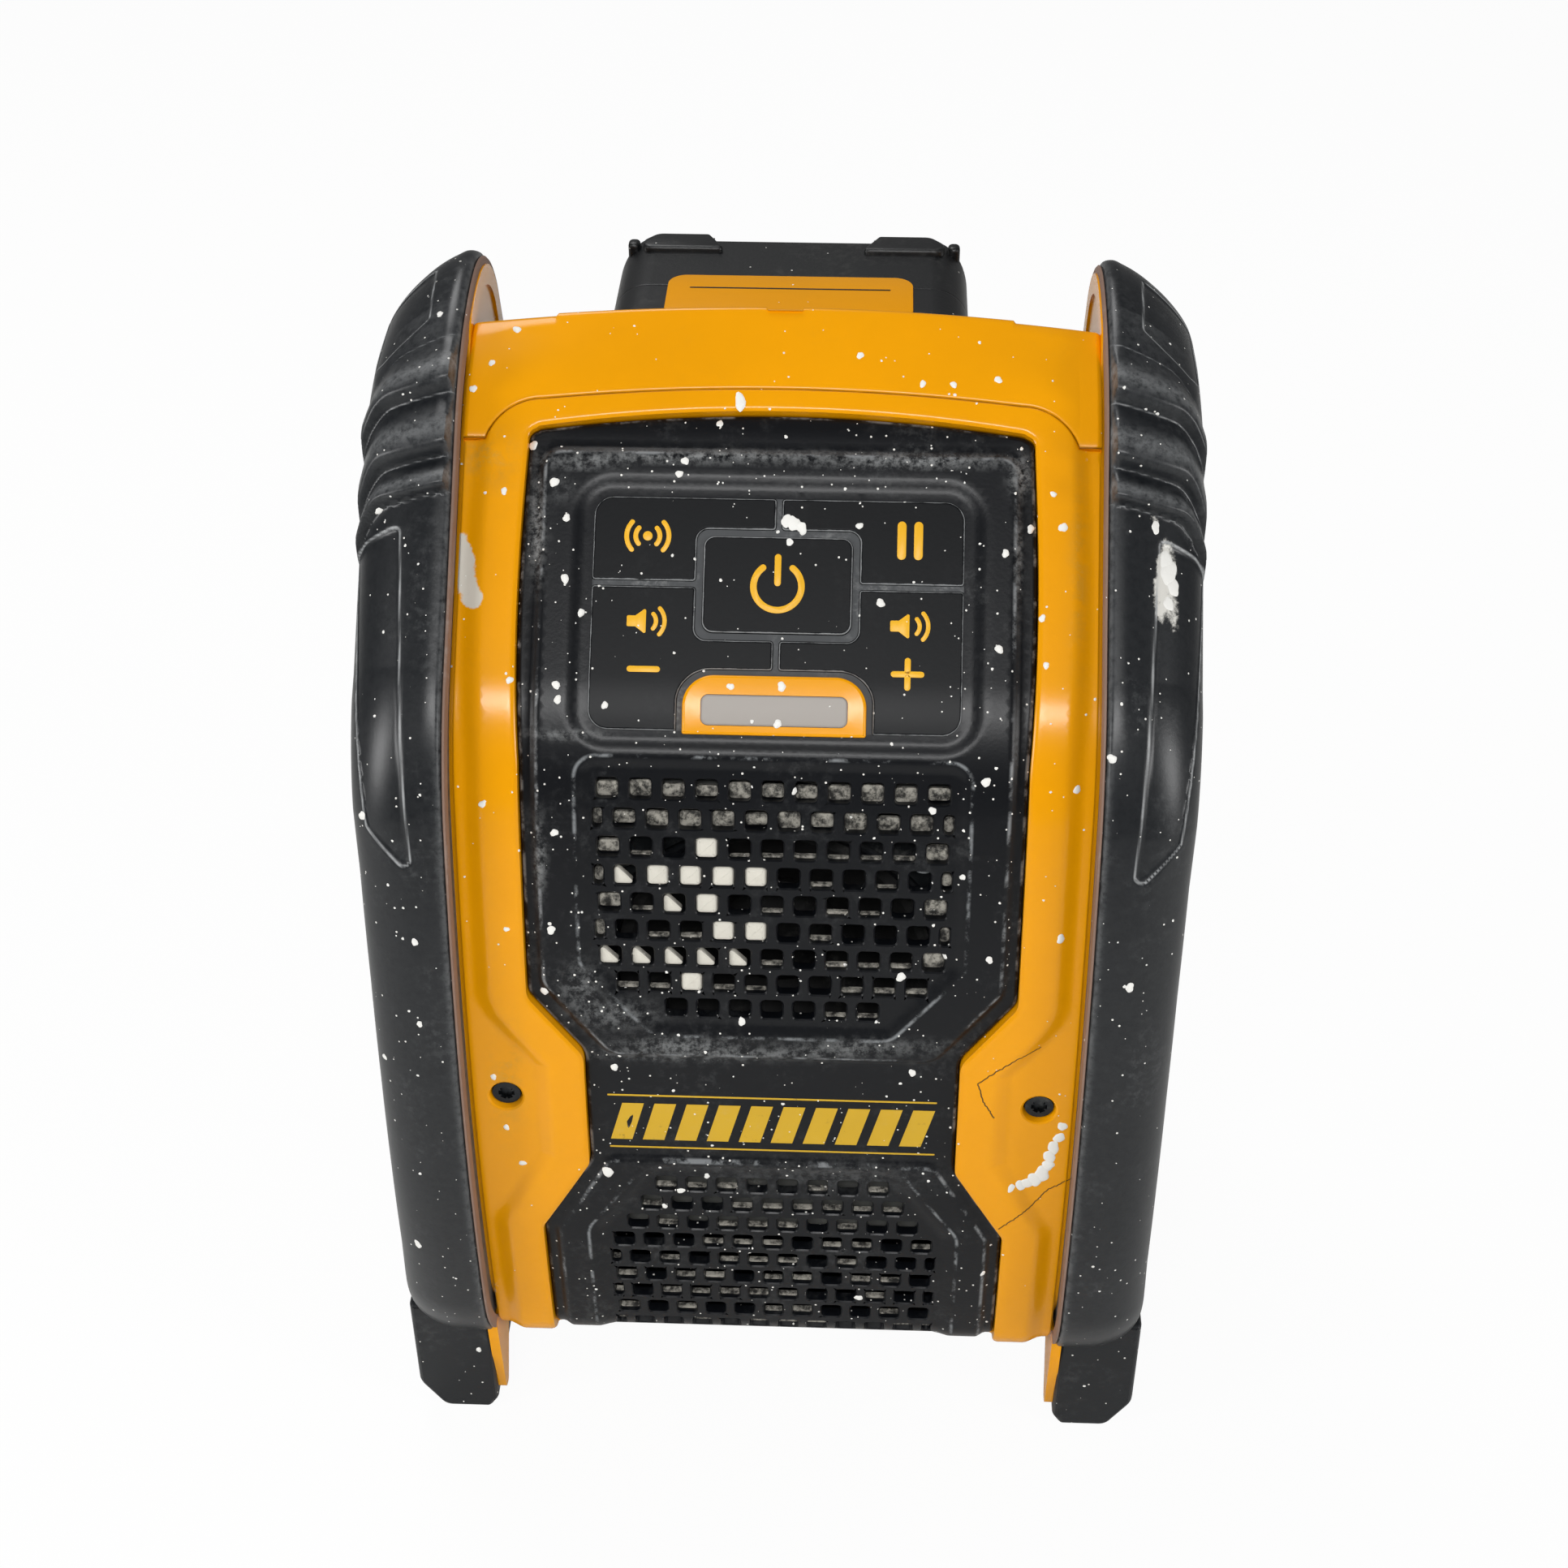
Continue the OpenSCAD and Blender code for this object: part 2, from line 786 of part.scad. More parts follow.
module guard_view(d, tip = 0) {
  polygon([for (q = guard_places) q[0] - (d + tip * tip_share(q[1])) * facing(q[1])]);
}

module side_frame() {
  color(yellow)
    difference() {
      union() {
        x_slab(body_half, liner_x1)
          guard_view(rubber_rim + fit, tip_round);
        x_slab(body_half, liner_x1)
          leg_view(0);
      }
      translate([body_half, 0, 0])
        at_side_screws()
          cylinder(r = side_screw_r, h = 4 * liner_t, center = true);
    }
}

module side_frame_right() {
  side_frame();
}

module side_frame_left() {
  mirror([1, 0, 0])
    side_frame();
}

// The guard's outer skin: rings of places, stepped out along X.
module guard_solid() {
  n = len(guard_places);
  m = len(guard_section);
  points = [for (k = guard_section) each guard_ring(k[0], k[1])];
  sides = [for (k = [0 : m - 2], i = [0 : n - 1]) let (a = k * n + i, b = k * n + (i + 1) % n)
    each [[a, a + n, b], [b, a + n, b + n]]];
  inner_cap = [for (i = [0 : n - 1]) i];
  crest = [guard_x0 + guard_face, 0, low_z];
  outer_cap = [for (i = [0 : n - 1]) [m * n, (m - 1) * n + (i + 1) % n, (m - 1) * n + i]];
  polyhedron(concat(points, [crest]), concat(sides, [inner_cap], outer_cap));
}

module guard() {
  color(rubber)
    difference() {
      guard_solid();
      x_slab(body_half - 1, liner_x1)
        guard_view(rubber_rim, tip_round);
      x_slab(body_half - 1, liner_x1)
        leg_view(fit);
      translate([body_half, 0, 0])
        at_side_screws()
          cylinder(r = side_screw_r, h = 24, center = true);
    }
}

module guard_right() {
  guard();
}

module guard_left() {
  mirror([1, 0, 0])
    guard();
}

// Front view of a foot with its two lower chamfers.
foot_chamfer = 3;
module foot_view(x0, x1) {
  polygon([[x0 + foot_chamfer, 0], [x1 - foot_chamfer, 0], [x1, 2 * foot_chamfer], [x1, 40], [x0, 40],
    [x0, 2 * foot_chamfer]]);
}

// One foot block, cut to the underside of the guard.
module foot() {
  x0 = liner_x1;
  x1 = x0 + foot_w;
  color(rubber)
    difference() {
      y_slab(-foot_front, foot_l - foot_front)
        foot_view(x0, x1);
      x_slab(0, far)
        guard_view(0);
    }
}

module foot_front_right() {
  foot();
}

module foot_front_left() {
  mirror([1, 0, 0])
    foot();
}

// The rear feet stand under the rear of the guard.
module rear_foot() {
  x0 = liner_x1;
  x1 = x0 + foot_w;
  color(rubber)
    difference() {
      y_slab(foot_front - foot_l, foot_front)
        foot_view(x0, x1);
      x_slab(0, far)
        guard_view(0);
    }
}

module foot_rear_right() {
  rear_foot();
}

module foot_rear_left() {
  mirror([1, 0, 0])
    rear_foot();
}

key_top = panel_sink + 0.4;
power_top = panel_sink - 0.4;
tab_top = panel_sink - 0.5;

// Quarter of the key field that a corner key fills.
module corner_key_view(sx, upper, g) {
  difference() {
    intersection() {
      keys_view(g);
      translate([sx > 0 ? key_groove / 2 : -far - key_groove / 2, upper ? power_c + key_groove / 2 : -far])
        square([far, upper ? far : far + power_c - key_groove / 2]);
    }
    translate([0, power_c])
      square([power_w + 2 * power_groove, power_h + 2 * power_groove], center = true);
    translate([-tab_w / 2 - key_groove, -far])
      square([tab_w + 2 * key_groove, far + keys_w0 + tab_h + key_groove]);
  }
}

key_lip = 1.6;
key_flange_t = 1.1;
key_flange_z = panel_back + fit;

module corner_key(sx, upper) {
  color(black)
    at_keypad() {
      translate([0, 0, -key_flange_z - key_flange_t])
        linear_extrude(key_flange_t)
          corner_key_view(sx, upper, key_lip);
      translate([0, 0, -key_flange_z - eps])
        linear_extrude(key_flange_z - key_top + eps)
          corner_key_view(sx, upper, 0);
      translate([sx * key_x, key_w[upper ? 1 : 0], -stem_end])
        cylinder(r = stem_r, h = stem_end - key_flange_z - key_flange_t / 2);
    }
}

module pairing_button() {
  corner_key(-1, true);
}

module pause_button() {
  corner_key(1, true);
}

module volume_down_button() {
  corner_key(-1, false);
}

module volume_up_button() {
  corner_key(1, false);
}

module power_button() {
  color(black)
    at_keypad()
      translate([0, power_c, 0]) {
        translate([0, 0, -skin_t])
          linear_extrude(skin_t - power_top)
            rounded([power_w, power_h], 2);
        translate([0, 0, -stem_end])
          cylinder(r = stem_r, h = stem_end - skin_t + 0.5);
        translate([0, 0, -stem_end])
          cylinder(r = stem_r + 1.2, h = stem_end - carrier_z - carrier_t);
      }
}

lens_c = keys_w0 + 1.3 + lens_h / 2;
lens_seat = 4;
guide_half = [4, 1.2];

module indicator_bezel() {
  color(yellow)
    at_keypad()
      difference() {
        translate([0, 0, -carrier_z])
          linear_extrude(carrier_z - tab_top)
            intersection() {
              translate([0, keys_w0 + tab_h / 2 - 5])
                rounded([tab_w, tab_h + 10], 4.4);
              translate([-far, keys_w0])
                square([2 * far, far]);
            }
        translate([0, lens_c, -lens_seat])
          linear_extrude(far)
            rounded([lens_w + fit, lens_h + fit], 1.5);
        translate([0, lens_c, -carrier_z - 1])
          linear_extrude(far)
            square([2 * guide_half.x + 2 * fit, 2 * guide_half.y + 2 * fit], center = true);
      }
}

module indicator_lens() {
  color("#b5afa9")
    at_keypad()
      translate([0, lens_c, 0]) {
        translate([0, 0, -lens_seat])
          linear_extrude(lens_seat - tab_top - 0.2)
            rounded([lens_w, lens_h], 1.4);
        translate([0, 0, -board_z + 1.6])
          linear_extrude(board_z - 1.6 - lens_seat + 0.2)
            square(2 * guide_half, center = true);
      }
}

module indicator_led() {
  color("white")
    at_keypad()
      translate([-1.6, lens_c - 1, -board_z])
        cube([3.2, 2, 1.2]);
}

pad_view_size = [2 * (post_x + 4), 51];
pad_view_mid = 24.5;

module button_carrier() {
  color(black)
    at_keypad()
      difference() {
        union() {
          translate([0, pad_view_mid, -carrier_z - carrier_t])
            linear_extrude(carrier_t)
              rounded(pad_view_size, 2);
          post_places()
            translate([0, 0, -board_z])
              cylinder(r = post_r, h = board_z - carrier_z - 0.2);
        }
        stem_places()
          translate([0, 0, -carrier_z - 2 * carrier_t])
            cylinder(r = stem_r + 0.4, h = 4 * carrier_t);
        translate([0, lens_c, -carrier_z - 2 * carrier_t])
          linear_extrude(4 * carrier_t)
            square([2 * guide_half.x + 2 * fit, 2 * guide_half.y + 2 * fit], center = true);
        post_places()
          translate([0, 0, -board_z - 1])
            cylinder(r = post_screw_r + fit, h = board_z);
      }
}

module button_board() {
  color(board_green)
    at_keypad()
      difference() {
        translate([0, pad_view_mid, -board_z - board_t])
          linear_extrude(board_t)
            rounded(pad_view_size, 2);
        post_places()
          translate([0, 0, -board_z - 3])
            cylinder(r = post_screw_r + fit, h = 6);
      }
}

module tact_switches() {
  plunger = 0.7;
  tact_top = stem_end + key_travel + 0.1;
  color("#3a3a3a")
    at_keypad()
      stem_places() {
        translate([-3, -3, -board_z])
          cube([6, 6, board_z - tact_top - plunger]);
        translate([0, 0, -tact_top - plunger - eps])
          cylinder(r = 1.7, h = plunger + eps);
      }
}

module button_board_screws() {
  color(steel)
    at_keypad()
      post_places() {
        translate([0, 0, -board_z - board_t])
          cylinder(r = post_screw_r, h = board_z + board_t - panel_back - 2.2);
        translate([0, 0, -board_z - board_t - 1.8])
          cylinder(r = 2.6, h = 1.8);
      }
}

// Frame of the driver: Z out of the baffle, Y up along it.
module at_driver() {
  translate([0, driver_y, driver_z])
    rotate([90 - driver_tilt, 0, 0])
      children();
}

gasket_t = 1.2;
flange_t = 2;
basket_depth = 24;
neck_z = -16;
coil_r0 = pole_r + 0.5;
coil_r1 = coil_r0 + 0.6;
gap_r = coil_r1 + 0.5;
plate_t = 4;
magnet_t = 12;
magnet_r = 30;
yoke_t = 5;
basket_back = -basket_depth - 2;
magnet_z = basket_back - plate_t;
yoke_z = magnet_z - magnet_t;
cone_r = 31;
cone_edge = cone_r + 2;
rim_z = -2.2;
basket_wall = 1.4;
basket_out = cutout_r - 2 * fit;
basket_in = basket_out - basket_wall;
driver_screw_r = 1.5;
driver_screw_ring = cutout_r + 3;
baffle_down = 70;
baffle_up = 50;
seat_r = magnet_r - 3;
basket_knee = -6.4;
spider_z = neck_z - 4;
spider_share = (spider_z + basket_depth) / (basket_knee + basket_depth);
spider_r = seat_r + (basket_in - seat_r) * spider_share - 0.1;

module driver_screw_places() {
  for (a = [45 : 90 : 315])
    rotate([0, 0, a])
      translate([driver_screw_ring, 0, 0])
        children();
}

module baffle() {
  color("#4a4a48")
    difference() {
      at_driver()
        difference() {
          translate([-inner_half, -baffle_down, -baffle_t])
            cube([2 * inner_half, baffle_down + baffle_up, baffle_t]);
          translate([0, 0, -2 * baffle_t])
            cylinder(r = cutout_r, h = 4 * baffle_t, $fn = 96);
          driver_screw_places()
            translate([0, 0, -2 * baffle_t])
              cylinder(r = driver_screw_r - 0.3, h = 4 * baffle_t);
        }
      front_screw_places()
        cylinder(r = boss_r + fit, h = far);
    }
}

module driver_gasket() {
  color("#151515")
    at_driver()
      difference() {
        cylinder(r = flange_r, h = gasket_t, $fn = 96);
        translate([0, 0, -1])
          cylinder(r = cutout_r, h = 4, $fn = 96);
        driver_screw_places()
          translate([0, 0, -1])
            cylinder(r = driver_screw_r + 0.2, h = 4);
      }
}

// Basket: flange, sloping wall with four windows, and the seat of the magnet.
module driver_basket() {
  color("#33363a")
    at_driver()
      difference() {
        rotate_extrude($fn = 96)
          polygon([[basket_in, gasket_t + flange_t], [flange_r, gasket_t + flange_t], [flange_r, gasket_t],
            [basket_out, gasket_t], [basket_out, basket_knee + 0.4], [seat_r + basket_wall, -basket_depth],
            [seat_r + basket_wall, basket_back], [gap_r, basket_back], [gap_r, -basket_depth],
            [seat_r, -basket_depth], [basket_in, basket_knee]]);
        for (a = [0 : 90 : 270])
          rotate([0, 0, a])
            translate([20, -9, -basket_depth + 1.5])
              cube([30, 18, 13]);
        driver_screw_places()
          translate([0, 0, gasket_t - 1])
            cylinder(r = driver_screw_r + 0.2, h = 4);
      }
}

module driver_screws() {
  color(steel)
    at_driver()
      driver_screw_places() {
        translate([0, 0, -baffle_t - 2])
          cylinder(r = driver_screw_r - 0.3, h = baffle_t + gasket_t + flange_t + 2.2);
        translate([0, 0, gasket_t + flange_t])
          cylinder(r = 2.7, h = 1.6);
      }
}

module magnet_front_plate() {
  color(steel)
    at_driver()
      translate([0, 0, magnet_z])
        difference() {
          cylinder(r = seat_r, h = plate_t);
          translate([0, 0, -1])
            cylinder(r = gap_r, h = plate_t + 2);
        }
}

module ring_magnet() {
  color("#2b2b2e")
    at_driver()
      translate([0, 0, yoke_z])
        difference() {
          cylinder(r = magnet_r, h = magnet_t);
          translate([0, 0, -1])
            cylinder(r = gap_r + 2.5, h = magnet_t + 2);
        }
}

module magnet_yoke() {
  color(steel)
    at_driver() {
      translate([0, 0, yoke_z - yoke_t])
        cylinder(r = magnet_r - 2, h = yoke_t);
      translate([0, 0, yoke_z - 1])
        cylinder(r = pole_r, h = magnet_t + plate_t + 2);
    }
}

module voice_coil() {
  color("#b87333")
    at_driver()
      translate([0, 0, magnet_z - 2])
        difference() {
          cylinder(r = coil_r1, h = neck_z - magnet_z + 3);
          translate([0, 0, -1])
            cylinder(r = coil_r0, h = far);
        }
}

module speaker_cone() {
  color("#1c1d1f")
    at_driver()
      rotate_extrude($fn = 96)
        polygon([[coil_r1, neck_z], [coil_r1 + 1, neck_z], [cone_r, rim_z - 0.8],
          [cone_edge, rim_z - 0.8], [cone_edge, rim_z], [cone_r - 0.4, rim_z], [coil_r1, neck_z + 1]]);
}

module dust_cap() {
  cap_z = neck_z + 1;
  color("#1c1d1f")
    at_driver()
      rotate_extrude()
        polygon(concat([for (i = [0 : 8]) [coil_r1 * cos(i * 11.25), cap_z + 5 * sin(i * 11.25)]],
          [for (i = [8 : -1 : 0]) [(coil_r1 - 1) * cos(i * 11.25), cap_z + 4.2 * sin(i * 11.25)]]));
}

module surround() {
  roll_c = (cone_edge + basket_in) / 2;
  roll_r = (basket_in - cone_edge) / 2 - fit / 2;
  roll_t = 0.8;
  color("#101112")
    at_driver()
      rotate_extrude($fn = 96)
        translate([roll_c, rim_z])
          polygon(concat([for (i = [0 : 10]) roll_r * [cos(i * 18), sin(i * 18)]],
            [for (i = [10 : -1 : 0]) (roll_r - roll_t) * [cos(i * 18), sin(i * 18)]]));
}

module spider() {
  color("#c9a25a")
    at_driver()
      translate([0, 0, spider_z])
        difference() {
          cylinder(r = spider_r, h = 0.8);
          translate([0, 0, -1])
            cylinder(r = coil_r1 + 0.1, h = 4);
        }
}

module main_board() {
  color(board_green)
    difference() {
      translate([-board_x, board_y, board_z0])
        cube([2 * board_x, board_t, board_z1 - board_z0]);
      board_places()
        cylinder(r = board_screw_r + fit, h = far);
    }
}

module main_board_screws() {
  color(steel)
    board_places() {
      translate([0, 0, board_y])
        cylinder(r = board_screw_r, h = 7);
      translate([0, 0, board_y - 1.8])
        cylinder(r = 2.6, h = 1.8);
    }
}

module amplifier_heatsink() {
  fin_pitch = 4;
  fin_t = 1.2;
  fin_l = 10;
  sink_w = 22;
  base_t = 2;
  color("#8d9196")
    translate([-30, board_y, board_z0 + 20]) {
      for (i = [0 : 4])
        translate([0, -fin_l, i * fin_pitch])
          cube([sink_w, fin_l, fin_t]);
      translate([0, -base_t, 0])
        cube([sink_w, base_t, 4 * fin_pitch + fin_t]);
    }
}

module wireless_module() {
  module_w = 18;
  module_h = 13;
  module_t = 2.4;
  color("#b9bcc0")
    translate([6, board_y - module_t, board_z1 - 2 * module_h])
      cube([module_w, module_t, module_h]);
}

module board_capacitors() {
  can_r = 5;
  can_l = 12;
  can_pitch = 12;
  can_up = 26;
  color("#30343c")
    for (i = [0 : 2])
      translate([2 + i * can_pitch, board_y - can_l, board_z0 + can_up])
        rotate([-90, 0, 0])
          cylinder(r = can_r, h = can_l);
}

terminal_half = 18;
terminal_z1 = pack_z0 + 12;
blade_t = 0.8;
blade_up = 11;
blade_pitch = 7;

module terminal_block() {
  color("#18191b")
    difference() {
      translate([-terminal_half, cap_rear, bay_floor_z])
        cube([2 * terminal_half, tongue_t + 1, terminal_z1 - bay_floor_z]);
      blade_row(0, bay_floor_z + 4);
    }
}

// Row of five upright blades, grown by g, from z up.
module blade_row(g, z) {
  for (i = [-2 : 2])
    translate([i * blade_pitch - blade_t / 2 - g, cap_rear + 1 - g, z])
      cube([blade_t + 2 * g, 1.8 + 2 * g, terminal_z1 + blade_up - z + g]);
}

module contact_blades() {
  color("#c9a24a")
    blade_row(0, bay_floor_z + 4);
}

module aux_jack() {
  color("#1b1c1e")
    translate([socket_x, boot_rear, socket_z])
      rotate([90, 0, 0])
        difference() {
          union() {
            cylinder(r = socket_r, h = socket_depth + 4);
            translate([0, 0, 8])
              translate([-6, -6, 0])
                cube([12, 12, socket_depth - 4]);
          }
          translate([0, 0, -1])
            cylinder(r = socket_bore_r, h = socket_depth + 1);
        }
}

cover_t = 2.4;
hinge_r = 1.6;
hinge_x = socket_x - cover_w / 2 - hinge_r;
hinge_y = boot_rear + hinge_r + fit;

// Shallow scoop in the boot that clears the cover's hinge roll.
module hinge_relief() {
  translate([hinge_x, hinge_y, socket_z - cover_w / 2 - 1])
    cylinder(r = hinge_r + 2 * fit, h = cover_w + 2);
}

module aux_cover() {
  color(rubber) {
    translate([hinge_x, boot_rear + fit, socket_z - cover_w / 2])
      cube([cover_w + hinge_r, cover_t, cover_w]);
    translate([hinge_x, hinge_y, socket_z - cover_w / 2])
      cylinder(r = hinge_r, h = cover_w);
  }
}

// Recess of a six-lobed drive, as three crossed bars.
module lobed_drive(r, h) {
  for (a = [0, 60, 120])
    rotate([0, 0, a])
      translate([-r, -r * 0.35, 0])
        cube([2 * r, r * 0.7, h]);
}

module front_screws() {
  color(dark_steel)
    front_screw_places()
      difference() {
        union() {
          translate([0, 0, -boss_back + 5])
            cylinder(r = front_screw_r, h = front_head_z + boss_back - 4);
          translate([0, 0, front_head_z])
            cylinder(r = front_screw_head_r, h = 1.7);
        }
        translate([0, 0, front_head_z + 0.7])
          lobed_drive(1.7, 4);
      }
}

module rear_screws() {
  color(dark_steel)
    rear_screw_places()
      difference() {
        union() {
          translate([0, 0, -0.6])
            cylinder(r = rear_head_r, h = 1.8);
          cylinder(r = rear_screw_r, h = 10);
        }
        translate([0, 0, -2])
          lobed_drive(1.7, 2.4);
      }
}

module side_screws() {
  color(steel)
    for (sx = [-1, 1])
      mirror([sx < 0 ? 1 : 0, 0, 0])
        translate([inner_half, 0, 0])
          at_side_screws() {
            cylinder(r = side_screw_r, h = wall + liner_t + 8);
            translate([0, 0, -2])
              cylinder(r = 2 * side_screw_r, h = 2);
          }
}

pack_split = pack_y0 + 20;
pack_h = pack_top - pack_z0;
pack_mid_z = (pack_top + pack_z0) / 2;

// Pack body between two depths, shrunk by g on all sides.
module pack_body(y0, y1, g) {
  intersection() {
    y_slab(y0, y1)
      translate([0, pack_mid_z])
        rounded([pack_w - 2 * g, pack_h - 2 * g], pack_r - g);
    translate([0, (pack_y0 + pack_y1) / 2, 0])
      linear_extrude(far)
        rounded([pack_w - 2 * g, pack_y1 - pack_y0 - 2 * g], pack_r - g);
  }
}

tongue_z0 = terminal_z1 + 1;
tongue_z1 = latch_z0 - 3;
latch_y0 = tongue_y;
latch_y1 = pack_y0 + 5;

module battery_upper_case() {
  color(black)
    difference() {
      union() {
        difference() {
          pack_body(pack_y0, pack_split, 0);
          pack_body(pack_y0 + pack_wall, pack_split + 1, pack_wall);
        }
        translate([-tongue_half, tongue_y, tongue_z0])
          cube([2 * tongue_half, pack_y0 - tongue_y + 0.2, tongue_z1 - tongue_z0]);
        translate([-tongue_half - tongue_lip, tongue_y, tongue_z0])
          cube([2 * (tongue_half + tongue_lip), tongue_t, tongue_z1 - tongue_z0]);
        translate([-latch_half - 3, pack_y0 + 1, latch_z0 - 3])
          cube([2 * latch_half + 6, latch_y1 + latch_travel + 2 - pack_y0, pack_top - latch_z0 + 1]);
      }
      blade_row(2 * fit, tongue_z0 - 1);
      translate([-latch_half - fit, pack_y0 - 10, latch_z0 - fit])
        cube([2 * latch_half + 2 * fit, latch_y1 - pack_y0 + latch_travel + 10 + fit, far]);
    }
}

notch_half = 17.5;
notch_d = 1.6;

module battery_lower_case() {
  color(black)
    difference() {
      pack_body(pack_split, pack_y1, 0);
      pack_body(pack_split - 1, pack_y1 - pack_wall - notch_d, pack_wall);
      translate([-notch_half, pack_y1 - notch_d, pack_top - 30])
        cube([2 * notch_half, 10, far]);
      pack_screw_places()
        translate([0, 0, -1])
          cylinder(r = 3.2, h = 2.6);
    }
}

module pack_screw_places() {
  for (sx = [-1, 1], sz = [-1, 1])
    translate([sx * (pack_half - 7), pack_y1, pack_mid_z + sz * (pack_h / 2 - 34)])
      rotate([90, 0, 0])
        children();
}

module battery_screws() {
  color(steel)
    pack_screw_places()
      translate([0, 0, 0.4])
        cylinder(r = 2.8, h = 1.2);
}

cell_pitch = 2 * cell_r + 0.6;
cell_count = 5;
cell_y = pack_y1 - pack_wall - notch_d - cell_r - 1.2;
cell_z0 = pack_z0 + pack_wall + cell_r + 2;

module battery_cells() {
  color("#3f6fae")
    for (i = [0 : cell_count - 1])
      translate([0, cell_y, cell_z0 + i * cell_pitch])
        rotate([0, 90, 0])
          cylinder(r = cell_r, h = cell_l, center = true);
}

module cell_frame() {
  frame_z0 = cell_z0 - cell_r - 1;
  frame_h = cell_pitch * (cell_count - 1) + 2 * cell_r + 2;
  frame_y = cell_y - cell_r - 1;
  color("#d8d8d2")
    difference() {
      for (sx = [-1, 1])
        translate([sx * (cell_l / 2 - 6) - 3, frame_y, frame_z0])
          cube([6, pack_y1 - pack_wall - notch_d - frame_y, frame_h]);
      for (i = [0 : cell_count - 1])
        translate([0, cell_y, cell_z0 + i * cell_pitch])
          rotate([0, 90, 0])
            cylinder(r = cell_r + 0.05, h = 2 * cell_l, center = true);
    }
}

module battery_board() {
  board_back = cell_y - cell_r - 1;
  board_half = cell_l * 0.4;
  board_l = cell_pitch * (cell_count - 1) - 5;
  color(board_green)
    translate([-board_half, board_back - board_t, cell_z0 - cell_r])
      cube([2 * board_half, board_t, board_l]);
}

module battery_latch() {
  color(rubber) {
    translate([-latch_half, pack_y0, latch_z0])
      cube([2 * latch_half, latch_y1 - pack_y0, pack_top + 3 - latch_z0]);
    translate([-hook_half, cap_rear - hook_h + fit, latch_z0])
      cube([2 * hook_half, pack_y0 - cap_rear + hook_h, 6]);
  }
}

label_half = 26;
label_t = 0.6;
label_y0 = latch_y1 + latch_travel + 0.8;
label_y1 = pack_y0 + 24;

module battery_label() {
  color(yellow)
    translate([0, (label_y0 + label_y1) / 2, pack_top])
      linear_extrude(label_t)
        rounded([2 * label_half, label_y1 - label_y0], 4);
}

front_frame();
front_panel();
top_cap();
rear_housing();
battery_bay();
back_cover();
side_frame_left();
side_frame_right();
guard_left();
guard_right();
foot_front_left();
foot_front_right();
foot_rear_left();
foot_rear_right();
power_button();
pairing_button();
pause_button();
volume_down_button();
volume_up_button();
indicator_bezel();
indicator_lens();
indicator_led();
button_carrier();
button_board();
tact_switches();
button_board_screws();
baffle();
driver_gasket();
driver_basket();
driver_screws();
magnet_front_plate();
ring_magnet();
magnet_yoke();
voice_coil();
speaker_cone();
dust_cap();
surround();
spider();
main_board();
main_board_screws();
amplifier_heatsink();
wireless_module();
board_capacitors();
terminal_block();
contact_blades();
aux_jack();
aux_cover();
front_screws();
rear_screws();
side_screws();
battery_upper_case();
battery_lower_case();
battery_cells();
cell_frame();
battery_board();
battery_latch();
battery_label();
battery_screws();
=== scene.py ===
# %% [markdown]
# # A jobsite speaker, dressed around its CAD frame
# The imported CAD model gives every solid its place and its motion. This lesson gives it its looks: a bowed
# yellow frame, a black perforated front, thick rubber guards and a battery pack, all scuffed, dusty and
# spattered with white wall paint. Lengths are in millimetres until the last moment, when `piece` turns them
# into metres.

# %% Load the frame
import json
import bpy
import numpy as np
from mathutils import Matrix, Vector
from mathutils.bvhtree import BVHTree
from mathutils.geometry import delaunay_2d_cdt


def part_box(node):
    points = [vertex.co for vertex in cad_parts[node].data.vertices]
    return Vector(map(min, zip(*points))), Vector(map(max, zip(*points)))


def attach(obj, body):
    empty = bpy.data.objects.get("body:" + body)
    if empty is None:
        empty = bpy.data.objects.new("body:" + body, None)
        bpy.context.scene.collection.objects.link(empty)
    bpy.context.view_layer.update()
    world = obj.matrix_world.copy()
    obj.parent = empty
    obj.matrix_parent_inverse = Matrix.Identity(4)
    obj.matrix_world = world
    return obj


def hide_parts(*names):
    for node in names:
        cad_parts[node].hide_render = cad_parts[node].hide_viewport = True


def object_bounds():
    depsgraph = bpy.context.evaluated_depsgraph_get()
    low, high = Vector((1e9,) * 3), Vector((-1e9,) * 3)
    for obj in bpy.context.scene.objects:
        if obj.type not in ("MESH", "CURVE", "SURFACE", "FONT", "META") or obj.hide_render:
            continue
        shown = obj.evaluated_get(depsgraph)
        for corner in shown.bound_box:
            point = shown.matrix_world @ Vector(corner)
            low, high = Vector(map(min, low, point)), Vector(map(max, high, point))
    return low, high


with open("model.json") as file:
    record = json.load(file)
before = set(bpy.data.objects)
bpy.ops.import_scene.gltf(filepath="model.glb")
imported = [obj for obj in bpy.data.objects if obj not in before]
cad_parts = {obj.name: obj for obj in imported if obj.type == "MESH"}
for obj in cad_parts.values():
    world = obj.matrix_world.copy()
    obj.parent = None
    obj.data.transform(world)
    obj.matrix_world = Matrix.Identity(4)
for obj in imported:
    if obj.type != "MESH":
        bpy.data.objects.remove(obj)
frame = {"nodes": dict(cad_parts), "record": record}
cad_box = [list(map(float, corner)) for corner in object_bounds()]
MM = 0.001
rng = np.random.default_rng(7)
print("CAD box", cad_box)

# %% [markdown]
# ## The camera
# The photograph was taken from above the front, about 38 degrees down. Its place was found by fitting a
# pinhole camera to the symmetric front, so it is written here as a position, a viewing direction and a
# right-hand vector. The lens follows from the fitted focal length in pixels. The same numbers turn a pixel
# into a line of sight, which is how marks on the speaker find their place later on.

